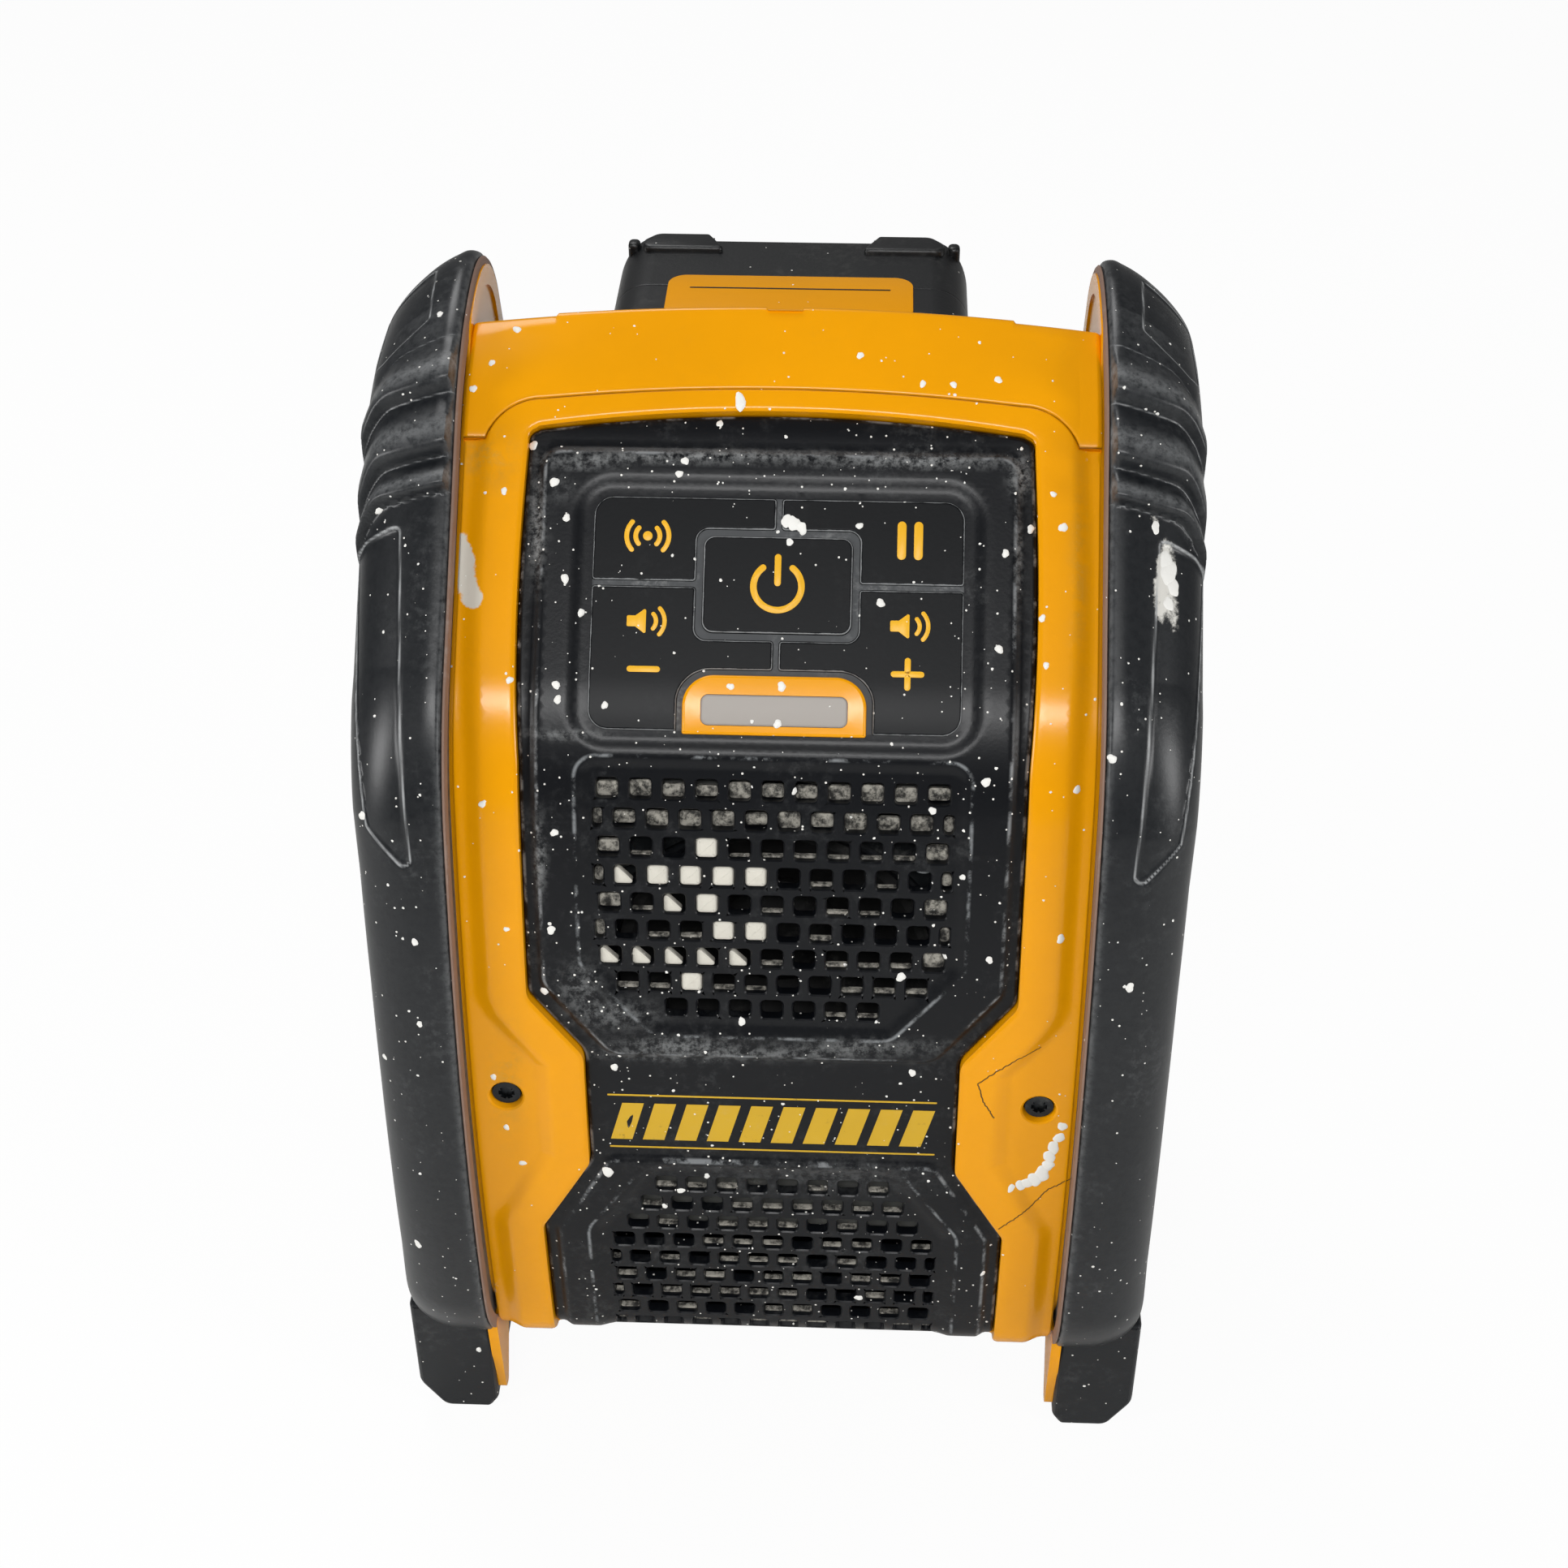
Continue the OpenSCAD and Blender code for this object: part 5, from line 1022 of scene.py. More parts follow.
# %% Status tab and lens
LENS_W, LENS_H, LENS_OUT = 28.8, 6.1, 0.2
lens_c = KEYS_W0 + 1.3 + LENS_H / 2
TAB_TOP = -(PANEL_D - 0.5)
lens_seat = box_outline(LENS_W + 0.1, LENS_H + 0.1, 1.5, 0.3) + [0, lens_c]
tab_rings = soft_edge(TAB_TOP - 2.4, TAB_TOP, 0.6)
edge = inset(tab_loop, tab_rings[-1][0])
grid = lattice(1.5, KEYS_W0, KEYS_W1, KEYS_HALF)
grid = grid[(depth_inside(grid, edge) > 0.4) & (depth_inside(grid, lens_seat) < -0.4)]


def in_tab(points):
    """True between the tab's rolled edge and the lens seat."""
    return (depth_inside(points, edge) > 0) & (depth_inside(points, lens_seat) < 0)


flat, tris = plate([edge, lens_seat], grid, in_tab)
seat = np.concatenate([level(lens_seat, height) for height in (TAB_TOP - 1.6, TAB_TOP)])
tab_points, tab_faces = merge(prism(tab_loop, tab_rings, from_keypad, caps=(False, False)),
                              (from_keypad(level(flat, TAB_TOP)), tris),
                              (from_keypad(seat), quads(2, len(lens_seat), wrap_cols=True, flip=True)))
piece("yellow_status_tab", tab_points, tab_faces, yellow_abs, stands_for=["indicator_bezel"],
      slot="yellow_plastic", crease=30)
lens_loop = refine(box_outline(LENS_W, LENS_H, 1.4, 0.3) + [0, lens_c], 1.5)
lens_points, lens_faces = block(lens_loop, soft_edge(TAB_TOP - 1.5, TAB_TOP + LENS_OUT, 0.35))
piece("status_lens", lens_points, lens_faces, lens_abs, stands_for=["indicator_lens"], slot="lens_plastic",
      crease=30)
print("tab", len(tab_points), "points, lens", len(lens_points))

# %% [markdown]
# ## Symbols on the keys
# The symbols are a hair's breadth of yellow print: strokes with round ends, carried on the key that they
# belong to. A power ring, two pause bars, a wireless sign of a dot and arcs, a loudspeaker, minus and plus.
# A picture on the key would do too, but drawn outlines stay sharp at any distance.

# %% Pen
def stroke(path, width):
    """Outline of a line drawn with a round pen: its two sides and two half circles."""
    path = np.asarray(path, float)
    t = np.gradient(path, axis=0)
    t /= np.linalg.norm(t, axis=1)[:, None]
    n = np.column_stack([-t[:, 1], t[:, 0]]) * width / 2
    a = np.radians(np.linspace(0, 180, 9))[1:-1, None]
    end = path[-1] - n[-1] * np.cos(a) + t[-1] * width / 2 * np.sin(a)
    start = path[0] + n[0] * np.cos(a) - t[0] * width / 2 * np.sin(a)
    return np.concatenate([path - n, end, (path + n)[::-1], start])


def arc_path(c, r, a0, a1, n=40):
    """Points on a circle round c, between two angles in degrees: the centre plus r times cosine and sine."""
    a = np.radians(np.linspace(a0, a1, n))
    return np.asarray(c) + r * np.column_stack([np.cos(a), np.sin(a)])


def line(x0, y0, x1, y1):
    """Four evenly spaced points from one place to another."""
    return np.linspace([x0, y0], [x1, y1], 4)


def print_symbol(name, key, loops, top):
    """Thin raised print of one symbol, riding on its key."""
    stations = [(0, top - 0.02), (0, top + 0.05), (0.04, top + 0.07)]
    points, faces = merge(*[prism(loop, stations, from_keypad) for loop in loops])
    piece(name, points, faces, icon_paint, body=f"{key}_button", slot="key_plastic", crease=30)
    print(name, len(loops), "strokes")


# %% [markdown]
# ### The symbols themselves
# Places are millimetres to the side of the middle and up the slope. The two volume keys mirror each other,
# apart from the plus, which gets two upright bars beside its level one.

# %% Symbols
SIGN_X, SIGN_HI, SIGN_MID, SIGN_LO, SIGN_HALF = 26.0, 39.4, 22.2, 12.6, 2.7
HORN = np.array([(-2.6, -1.1), (-0.9, -1.1), (1.2, -2.7), (1.2, 2.7), (-0.9, 1.1), (-2.6, 1.1)])
power_ring = stroke(arc_path((0, POWER_C - 0.3), 4.75, 128, 412), 1.3)
power_bar = stroke(line(0, POWER_C + 0.4, 0, POWER_C + 5.6), 1.3)
print_symbol("power_symbol", "power", [power_ring, power_bar], KEY_TOP + POWER_LIFT)
pause_bars = [stroke(line(x, SIGN_HI - 3.0, x, SIGN_HI + 3.0), 1.75) for x in (SIGN_X - 1.65, SIGN_X + 1.65)]
print_symbol("pause_symbol", "pause", pause_bars, KEY_TOP)
dot = arc_path((-SIGN_X, SIGN_HI), 0.95, 0, 345, 24)
waves = [stroke(arc_path((-SIGN_X, SIGN_HI), r, a - 42, a + 42, 16), 0.95)
         for r in (2.4, 4.2) for a in (0, 180)]
print_symbol("wireless_symbol", "pairing", [dot, *waves], KEY_TOP)
for sx, key in ((-1, "volume_down"), (1, "volume_up")):
    c = sx * SIGN_X - 1.0
    loops = [rounded(HORN + [c, SIGN_MID], 0.3, 0.2)]
    loops += [stroke(arc_path((c + 1.0, SIGN_MID), r, -42, 42, 14), 0.85) for r in (2.2, 3.9)]
    loops.append(stroke(line(sx * SIGN_X - SIGN_HALF, SIGN_LO, sx * SIGN_X + SIGN_HALF, SIGN_LO), 1.2))
    print_symbol(f"{key}_symbol", key, loops, KEY_TOP)
plus_bars = [stroke(line(SIGN_X, SIGN_LO + a, SIGN_X, SIGN_LO + b), 1.2)
             for a, b in ((-SIGN_HALF, -0.62), (0.62, SIGN_HALF))]
print_symbol("volume_up_plus", "volume_up", plus_bars, KEY_TOP)

# %% [markdown]
# ## The rubber guards
# A guard is a cross-section carried round the outline of the speaker's side. The outline is a chain of arcs
# again: the front's own ones moved out by 6 mm, then the tip, the back and a flat sole. Modelling it as a
# subdivided box would be quicker, but the guard has to keep its distance from the front all the way.

# %% Guard outline
GUARD_T, PROUD, GUARD_REAR, TIP_R = 21.0, 6.0, 70.0, 26.0
GUARD_CHIN_R, GUARD_CHIN_Z, SHOULDER_R, SOLE_LEN, SOLE_POINTS = 30.0, 48.0, 60.0, 80, 28
TIP_LEAN, BACK_LEAN, TIP_MIDDLE, RIB_REACH = np.radians(85), np.radians(160), np.radians(105), np.radians(32)
guard_chin_lean = np.arcsin((GUARD_CHIN_Z - BELLY_Z) / (BELLY_R + PROUD))
guard_chin_c = belly_c + (BELLY_R + PROUD - GUARD_CHIN_R) * facing(guard_chin_lean)
guard_top_c = slope_1 + (PROUD - CROWN_R) * facing(slope_lean)
tip_c = guard_top_c + (CROWN_R - TIP_R) * facing(TIP_LEAN)
back_y, back_n = GUARD_REAR - SHOULDER_R, facing(BACK_LEAN)
back_run = (back_y - tip_c[0] + (SHOULDER_R - TIP_R) * back_n[0]) / back_n[1]
back_c = np.array([back_y, tip_c[1] + (TIP_R - SHOULDER_R) * back_n[1] - back_run * back_n[0]])
rear_c = np.array([GUARD_REAR - GUARD_CHIN_R, guard_chin_c[1]])
guard_yz, guard_lean, guard_s = chain([
    (guard_chin_c, GUARD_CHIN_R, -np.pi / 2, guard_chin_lean, 0.8),
    (belly_c, BELLY_R + PROUD, guard_chin_lean, bend_lean, 0.6),
    (bend_c, BEND_R + PROUD, bend_lean, slope_lean, 0.5),
    (guard_top_c, CROWN_R, slope_lean, TIP_LEAN, 0.5), (tip_c, TIP_R, TIP_LEAN, BACK_LEAN, 1.0),
    (back_c, SHOULDER_R, BACK_LEAN, np.pi, 3.0), (rear_c, GUARD_CHIN_R, np.pi, 1.5 * np.pi, 3.0)])
sole = np.linspace(guard_yz[-1], guard_yz[0], SOLE_POINTS)[1:-1]
guard_yz = np.concatenate([guard_yz, sole])
guard_lean = np.concatenate([guard_lean, np.full(len(sole), 1.5 * np.pi)])
guard_s = np.concatenate([guard_s, np.linspace(guard_s[-1], guard_s[-1] + SOLE_LEN, SOLE_POINTS)[1:-1]])
guard_out = facing(guard_lean)[:, None, :]
up_slope = ((guard_yz - KEY_FOOT) @ slope_up)[:, None]
rib_zone = (np.abs(guard_lean - slope_lean) < RIB_REACH)[:, None]
tip_share = np.clip(np.cos(guard_lean - TIP_MIDDLE), 0, None)[:, None]
print("guard outline", len(guard_yz), "points")

# %% [markdown]
# ### Section and ribs
# The section is a flat front band, a wide round shoulder and a flat outer face: its u runs outwards, its d
# says how far it falls back. Three overlapping ribs lie over the shoulder. Each climbs from its upper crease
# to a crest near its lower end and drops steeply, like roof tiles. The creases bend down round the outer
# side.

# %% Guard section
TIP_TAPER, TIP_ROUND, LIP, BAND_W, SHOULDER_DROP = 9.0, 3.0, 0.8, 6.6, 9.5
GUARD_X0, GUARD_FACE = BODY_HALF + 0.3, GUARD_T - 0.3
GUARD_Z = [28, 45, 60, 85, 110, 135, 160, 176, 190, 230, 236, 241, 246, 252]
GUARD_HALF = [84.0, 83.6, 83.1, 82.9, 82.8, 82.9, 83.3, 84.0, 84.5, 84.5, 84.2, 83.2, 82.3, 82.0]
RIBS, RIB_FIRST, RIB_PITCH, RIB_SKEW, RIB_BEND, RIB_BEND_U = 3, 36.0, 13.3, 0.2, 9.4, 14
RIB_SHORT, RIB_H, RIB_FALL = 0.45, 2.7, 0.22
shoulder_turn = np.radians(np.linspace(2, 90, 36))
sec_u = np.concatenate([[LIP, LIP + 0.12, LIP + 0.35, LIP + 0.7], np.arange(2.0, 6.5, 0.5),
                        BAND_W + (GUARD_FACE - BAND_W) * np.sin(shoulder_turn)])
sec_d = np.concatenate([[1.5, 0.85, 0.35, 0.06], np.zeros(9), SHOULDER_DROP * (1 - np.cos(shoulder_turn))])
sec_w = np.concatenate([[0], np.cumsum(np.hypot(np.diff(sec_u), np.diff(sec_d)))])


def tip_round(u):
    """Rounding of the tip's inner edge: full at the edge, falling with the square of the way to 5 mm."""
    return TIP_ROUND * np.clip(1 - u / 5, 0, 1) ** 2


def rib_number(place, u):
    """Ribs counted up from the lowest crease; creases bend with the square of u; the lowest rib is short."""
    bend = RIB_BEND * np.clip((u - RIB_BEND_U) / (GUARD_T - RIB_BEND_U), 0, 1) ** 2
    rise = place - RIB_FIRST - RIB_SKEW * (GUARD_T - u) + bend
    return np.interp(rise / RIB_PITCH, [RIB_SHORT - 30, RIB_SHORT, 1, 30], [-30, 0, 1, 30])


def rib_lift(place, u):
    """Height of the ribs: a power of a sine up to the crest, then one of a cosine down to the next crease."""
    v = rib_number(place, u)
    f = v - np.floor(v)
    drop = np.sin(np.clip(f / RIB_FALL, 0, 1) * np.pi / 2) ** 1.4
    climb = np.cos(np.clip((f - RIB_FALL) / (1 - RIB_FALL), 0, 1) * np.pi / 2) ** 1.6
    return np.where((v > 0) & (v < RIBS), RIB_H * np.where(f < RIB_FALL, drop, climb), 0)


print("section", len(sec_u), "points,", round(float(sec_w[-1]), 1), "mm across")

# %% [markdown]
# ### Surface of a guard
# Every point is an outline point moved inwards along its normal: by the section's depth, by the taper of the
# tip, and by the sunken fields, less the ribs. The width follows the height, as the guard swells at the ribs.
# The outer face is filled by rings that shrink towards a spine in the middle of the side.

# %% Guard surface
FACE_SHARES = np.array([0.97, 0.92, 0.84, 0.65, 0.45, 0.25, 0.0])
RIB_FADE = np.array([0.8, 0.35, 0.08, 0, 0, 0, 0])
SPINE_LOW, SPINE_TALL, SPINE_0, SPINE_RUN, FACE_DISH = 70, 115, np.array([0, 78]), np.array([8, 105]), 0.6


def guard_section(lift, sink):
    """Rows round the outline, columns across the section: outline point less its move along the normal."""
    u = sec_u[None, :]
    move = sec_d[None, :] + (TIP_TAPER * u / GUARD_T + tip_round(u)) * tip_share - lift + sink
    yz = guard_yz[:, None, :] - move[..., None] * guard_out
    wide = np.interp(yz[..., 1], GUARD_Z, GUARD_HALF) - GUARD_X0
    x = GUARD_X0 + u * (1 + (wide / GUARD_FACE - 1) * step(1.0, 6.0, u)) + 0.6 * lift * step(7, 19, u)
    return np.stack([np.minimum(x, GUARD_X0 + GUARD_FACE), yz[..., 0], yz[..., 1]], -1)


def guard_surface(sink):
    """Section with ribs and fields, then the outer face: rings that shrink to the spine and lose the ribs."""
    u = sec_u[None, :]
    lift = rib_lift(up_slope, u) * rib_zone * step(LIP, LIP + 1.2, u)
    lift = lift * (1 - 0.4 * step(RIB_BEND_U, GUARD_FACE, u))
    front = guard_section(lift, sink)
    calm = guard_section(0 * lift, 0.0)[:, -1]
    spine_t = np.clip((calm[:, 2] - SPINE_LOW) / SPINE_TALL, 0, 1)[:, None]
    spine_x = np.full(len(calm), GUARD_X0 + GUARD_FACE - FACE_DISH)
    spine = np.column_stack([spine_x, SPINE_0 + SPINE_RUN * spine_t])
    r = FACE_SHARES[None, :, None]
    rim = calm[:, None] + (front[:, -1] - calm)[:, None] * RIB_FADE[None, :, None]
    face = spine[:, None] + (rim - spine[:, None]) * r
    face[..., 0] = rim[..., 0] + (spine[:, None, 0] - rim[..., 0]) * (1 - r[..., 0] ** 2)
    return np.concatenate([front, face], 1)


plain_points = (guard_surface(0.0)[:, :len(sec_u)] * [-1, 1, 1]).reshape(-1, 3)
surface_ws = np.stack(np.broadcast_arrays(sec_w[None, :], guard_s[:, None]), -1).reshape(-1, 2)
print("plain guard", len(plain_points), "points")

# %% [markdown]
# ### Sunken fields of the guards
# Each guard has a long sunken field down its front and a smaller one over the ribs. Their corners were read
# off the photograph as lines of sight; where those meet the plain surface gives corners in (distance across
# the section, distance along the outline). The field then lowers the surface by a little, with a short wall.

# %% Guard fields
LOW_FIELD_PX = ((492, 645), (503, 1066), (494, 1073), (447, 1019), (434, 690), (447, 668))
HIGH_FIELD_PX = ((536, 330), (526, 390), (501, 414), (470, 446))
FIELD_SINK, NEAR_SIGHT = 0.55, 0.7


def land(px, py):
    """Where a line of sight meets the plain guard: of the points near the line, the nearest to the eye."""
    q, ray = plain_points - EYE, sight(px, py)
    t = q @ ray
    off = np.linalg.norm(q - t[:, None] * ray, axis=1)
    return surface_ws[np.argmin(np.where(off < NEAR_SIGHT, t, 1e9 + off))]


low_field = np.array([land(px, py) for px, py in LOW_FIELD_PX])
high_field = np.array([land(px, py) for px, py in HIGH_FIELD_PX])
print("fields", low_field.round(1).tolist(), high_field.round(1).tolist())
outer_w = sec_w[-1] - 2
high_field = np.concatenate([high_field, [[outer_w, high_field[-1, 1]], [outer_w, high_field[0, 1]]]])
fields = [rounded(counter_clockwise(low_field), 1.3), rounded(counter_clockwise(high_field), 1.5)]
field_depth = np.max([depth_inside(surface_ws, field) for field in fields], 0)
field_depth = field_depth.reshape(len(guard_s), len(sec_w))
guard_grid = guard_surface(FIELD_SINK * step(-0.1, 0.55, field_depth))
rows, cols = guard_grid.shape[:2]
inner_wall = guard_grid[:, 0].copy()
inner_wall[:, 0] = GUARD_X0 + LIP - 0.6
inner_wall[:, 1:] -= 8.5 * facing(guard_lean)
guard_full = np.concatenate([inner_wall[:, None], guard_grid], 1)
guard_full[..., 2] = np.minimum(guard_full[..., 2], cad_box[1][2] / MM)
print("guard", rows, "x", cols)

# %% [markdown]
# ### Dirt and painted light on the guards
# Light lines mark the creases and the walls of the fields, partly worn edges and partly painted highlight, so
# one mask holds the distance to the nearest of them. A pale band on the upper part of each rib is partly dust
# and partly a painted highlight, and dust gathers along the inner lip. Both fade out on the outer face as the
# ribs do. The last spots, smears of paint and dust, were read off the photograph.

# %% Guard dirt
GUARD_DUST = [(530, 400, 45, 60, 0.08), (1420, 380, 50, 70, 0.1)]
GUARD_WEAR = [(1438, 700, 17, 42, 0.75), (1428, 745, 14, 40, 0.45), (1450, 770, 12, 30, 0.5),
              (1425, 640, 20, 14, 0.45), (455, 560, 25, 16, 0.25), (540, 460, 16, 14, 0.3),
              (1392, 640, 10, 30, 0.3)]
THIN_DUST, RIB_DUST_AND_HIGHLIGHT, LIP_DUST, FRONT_Y = 0.02, 0.36, 0.3, 20
v = rib_number(up_slope, sec_u[None, :])
f = v - np.floor(v)
on_rib = rib_zone * (v > 0) * (v < RIBS)
crease_mm = 0.8 * np.abs(v - np.round(v)) * RIB_PITCH + 0.18
crease_mm = np.where(rib_zone & (v > -0.2) & (v < RIBS + 0.2), crease_mm, FAR_MM)
guard_highlight_line_mm = np.minimum(np.clip(np.abs(field_depth), 0, FAR_MM), crease_mm)
# Pale band on each rib: partly dust, partly a painted highlight.
guard_dust_and_highlight = THIN_DUST + RIB_DUST_AND_HIGHLIGHT * on_rib * np.exp(-((f - 0.44) / 0.19) ** 2)
guard_dust_and_highlight = guard_dust_and_highlight + LIP_DUST * np.exp(-(sec_u[None, :] - LIP) ** 2)


def widen(values, plain):
    """Spreads values on the section to the inner wall and, fading to a plain value, to the outer face."""
    face = plain + (values[:, -1:] - plain) * RIB_FADE
    return np.concatenate([values[:, :1], values, face], 1).ravel()


print("dust on ribs up to", round(float(guard_dust_and_highlight.max()), 2))

# %% [markdown]
# ### The guards as pieces
# The left guard is the right one mirrored, with its faces turned round. Along the inner edge of each runs the
# cut edge of a tan liner, worn free: a narrow ribbon with a rounded top.

# %% Guard pieces
LIP_U = np.array([0.0, 0.08, 0.22, 0.58, 0.72, LIP])
LIP_D = np.array([3.5, 0.75, 0.5, 0.5, 0.75, 3.5])
lip_yz = guard_yz[:, None, :] - (LIP_D + tip_round(LIP_U) * tip_share)[..., None] * guard_out
lip_x = np.broadcast_to((GUARD_X0 + LIP_U)[None, :, None], (*lip_yz.shape[:2], 1))
lip = np.concatenate([lip_x, lip_yz], -1)
SIDES = (("right", 1), ("left", -1))
for side, sx in SIDES:
    points = guard_full.reshape(-1, 3) * [sx, 1, 1]
    faces = quads(rows, cols + 1, wrap_rows=True, flip=sx > 0)
    guard = piece(f"rubber_guard_{side}", points, faces, guard_rubber, stands_for=[f"guard_{side}"],
                  slot="rubber", crease=50)
    front_only = np.tile(np.arange(cols + 1) < len(sec_u) - 4, rows) * (points[:, 1] < FRONT_Y)
    # Light lines at creases and field walls: partly worn edges, partly painted highlight.
    mask(guard, "edge_mm", widen(guard_highlight_line_mm, FAR_MM))
    # On the guards the "dust" mask also holds the painted highlight on each rib.
    mask(guard, "dust", widen(guard_dust_and_highlight, THIN_DUST) + front_only * patches(points, GUARD_DUST))
    mask(guard, "wear", front_only * patches(points, GUARD_WEAR))
    lip_faces = quads(*lip.shape[:2], wrap_rows=True, flip=sx > 0)
    piece(f"liner_lip_{side}", lip.reshape(-1, 3) * [sx, 1, 1], lip_faces, tan_edge, slot="rubber")
print("guards and lips of", len(points), "and", lip.size // 3, "points")

# %% [markdown]
# ## Feet
# The feet are rubber blocks that come out from under the guards, with long bevels at the floor. One outline,
# seen from the front, is carried from the rear end of a foot to its front end, with rounded ends.

# %% Feet
FOOT_ENDS = {"front": (-59.8, -34.0), "rear": (34.0, 59.0)}
FOOT_START, FOOT_STOP = [(1.2, 0), (0.35, 0.3), (0, 1.2)], [(0, 1.6), (0.2, 0.8), (0.6, 0.25), (1.1, 0)]
foot_loop = rounded([(67.6, 0), (78.6, 0), (84.1, 8.5), (84.1, 36), (65.7, 36), (65.7, 3)],
                    [1.5, 3.5, 5, 1, 1, 1.5], 0.6)


def foot_place(rows, sx, y1):
    """Rows of (outwards, up, forwards from the foot's rear end) to space, on the side that sx gives."""
    return np.column_stack([sx * rows[:, 0], y1 - rows[:, 2], rows[:, 1]])


for side, sx in SIDES:
    for end, (y0, y1) in FOOT_ENDS.items():
        stations = FOOT_START + [(d, y1 - y0 - h) for d, h in FOOT_STOP]
        points, faces = prism(foot_loop, stations, lambda rows: foot_place(rows, sx, y1))
        faces = [f[:, ::-1] for f in faces] if sx < 0 else faces
        piece(f"rubber_foot_{end}_{side}", points, faces, plain_rubber, stands_for=[f"foot_{end}_{side}"],
              slot="rubber", crease=25)
print("feet of", len(points), "points")

# %% [markdown]
# ## Side frames
# Between body and guard sits a yellow plate. Only its edge shows: inside the guard's tip, along the guard's
# inner edge and as a tapering leg beside each foot. It is the guard's outline moved inwards, with a shallow
# sunken middle.

# %% Side frames
PLATE_IN, PLATE_IN_TIP, PLATE_IN_LOW = 4.1, 0.4, 3.9
low_front = step(-1.4, -1.0, guard_lean) * (1 - step(1.05, 1.25, guard_lean))
plate_in = PLATE_IN + PLATE_IN_TIP * tip_share[:, 0] + PLATE_IN_LOW * low_front
plate_loop = (guard_yz - plate_in[:, None] * facing(guard_lean))[::3]
leg_front = rounded([(-57.5, 5.0), (-54.5, 4.0), (-45.5, 20.0), (-38, 32), (-61, 32)],
                    [1.5, 1.2, 8, 1, 1], 0.6)
leg_rear = (leg_front * [-1, 1])[::-1]
# Outline, inner height, outer height, width of its rim and depth of its sunken middle.
PLATES = ((plate_loop, 0.0, 2.9, 4.2, 0.5), (leg_front, 0.3, 2.6, 0.5, 0.0), (leg_rear, 0.3, 2.6, 0.5, 0.0))
for side, sx in SIDES:
    parts = []
    for loop, low, high, rim_w, sunk in PLATES:
        loop = counter_clockwise(loop)[::sx]
        inner, n = inset(loop, rim_w * sx), len(loop)
        rings = [level(inner, low + sunk), level(inner, low), level(loop, low), level(loop, high)]
        rings = np.concatenate(rings)
        points = np.column_stack([sx * (BODY_HALF + rings[:, 2]), rings[:, :2]])
        parts.append((points, [quads(4, n, wrap_cols=True), np.arange(n)[None, ::-1]]))
    points, faces = merge(*parts)
    piece(f"yellow_side_plate_{side}", points, faces, yellow_abs, stands_for=[f"side_frame_{side}"],
          slot="yellow_plastic", crease=30)
print("side plate", len(points), "points")

# %% [markdown]
# ## The battery pack's top
# The pack's shell is the CAD one. On top of it sit two raised shoulders that leave a slanted notch between
# them, a nub of each release catch at the rear corners and, behind the cap, the low top of the latch. A plain
# yellow label with one thin line lies in front of them.

# %% Pack details
PACK_TOP, LATCH_LOW, HOOK_TOP, LABEL_OUT, LABEL_LINE = 241.0, 221.0, 227.0, 0.7, (-21, 44.4, 21, 44.4)
shoulder = rounded([(18.6, 69.6), (14.9, 62.6), (32.6, 62.6), (33.0, 66.0), (30.0, 69.6)],
                   [0.8, 0.8, 2, 3, 3], 0.4)
shoulder_edge = soft_edge(PACK_TOP - 1.5, PACK_TOP + 1.3, 0.6)
nub_edge = soft_edge(PACK_TOP - 6, PACK_TOP + 0.5, 0.8)
for side, sx in SIDES:
    points, faces = prism(counter_clockwise(shoulder * [sx, 1]), shoulder_edge, upright)
    piece(f"pack_shoulder_{side}", points, faces, pack_abs, body="battery", slot="black_plastic", crease=35)
    points, faces = prism(box_outline(2.6, 3.2, 1.0) + [sx * 35.0, 66.8], nub_edge, upright)
    piece(f"pack_catch_nub_{side}", points, faces, pack_abs, body="battery", slot="black_plastic", crease=35)
latch_bar = prism(box_outline(30.0, 5.0, 0.8) + [0, 29.0],
                  soft_edge(LATCH_LOW, PACK_TOP + 0.8, 0.6, 0.4), upright)
latch_hook = prism(box_outline(6.0, 7.0, 0.4) + [0, 22.9], soft_edge(LATCH_LOW, HOOK_TOP, 0.4), upright)
piece("pack_latch", *merge(latch_bar, latch_hook), plain_rubber, body="latch", stands_for=["battery_latch"],
      slot="rubber", crease=35)
label_low, label_high = (np.array(corner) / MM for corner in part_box("battery_label"))
label_front = label_low[1] - LABEL_OUT
label_loop = rounded([(label_low[0], label_front), (label_high[0], label_front), label_high[:2],
                      (label_low[0], label_high[1])], [0.5, 0.5, 4, 4])
points, faces = prism(label_loop, soft_edge(label_low[2], label_high[2], 0.15), upright)
piece("pack_label", points, faces, yellow_abs, body="battery", stands_for=["battery_label"],
      slot="yellow_plastic", crease=30)
label_line = prism(stroke(line(*LABEL_LINE), 0.5), [(0, 241.58), (0, 241.66)], upright)
piece("label_line", *label_line, pack_abs, body="battery", slot="yellow_plastic")
for name in ("battery_upper_case", "battery_lower_case"):
    frame["nodes"][name].data.materials[0] = pack_abs
print("label", label_low.round(2), label_high.round(2))

# %% [markdown]
# ## Printed band
# A worn yellow print runs across the panel between the grilles: a plain pattern of two thin lines and a row
# of slanted bars, flaked by noise in the material. It is real geometry, a few hundredths of a millimetre
# thick, so it needs no image and no unwrapping.

# %% Band
BAND_LO, BAND_HI, BAND_HALF = float(along(92.0, PANEL_D)), float(along(106.6, PANEL_D)), 34.6
BAR_HALF, BAR_SLANT, BAR_GAP, BAR_PITCH, BAND_FLAKED = 2.3, 1.4, 2.2, 6.85, 0.36
band_depth = panel_depth(np.array([[0.0, (BAND_LO + BAND_HI) / 2]]))[0]


def on_band(rows):
    """Rows of (x, distance, depth below the panel's surface there) to space."""
    return on_front(rows + [0, 0, band_depth])


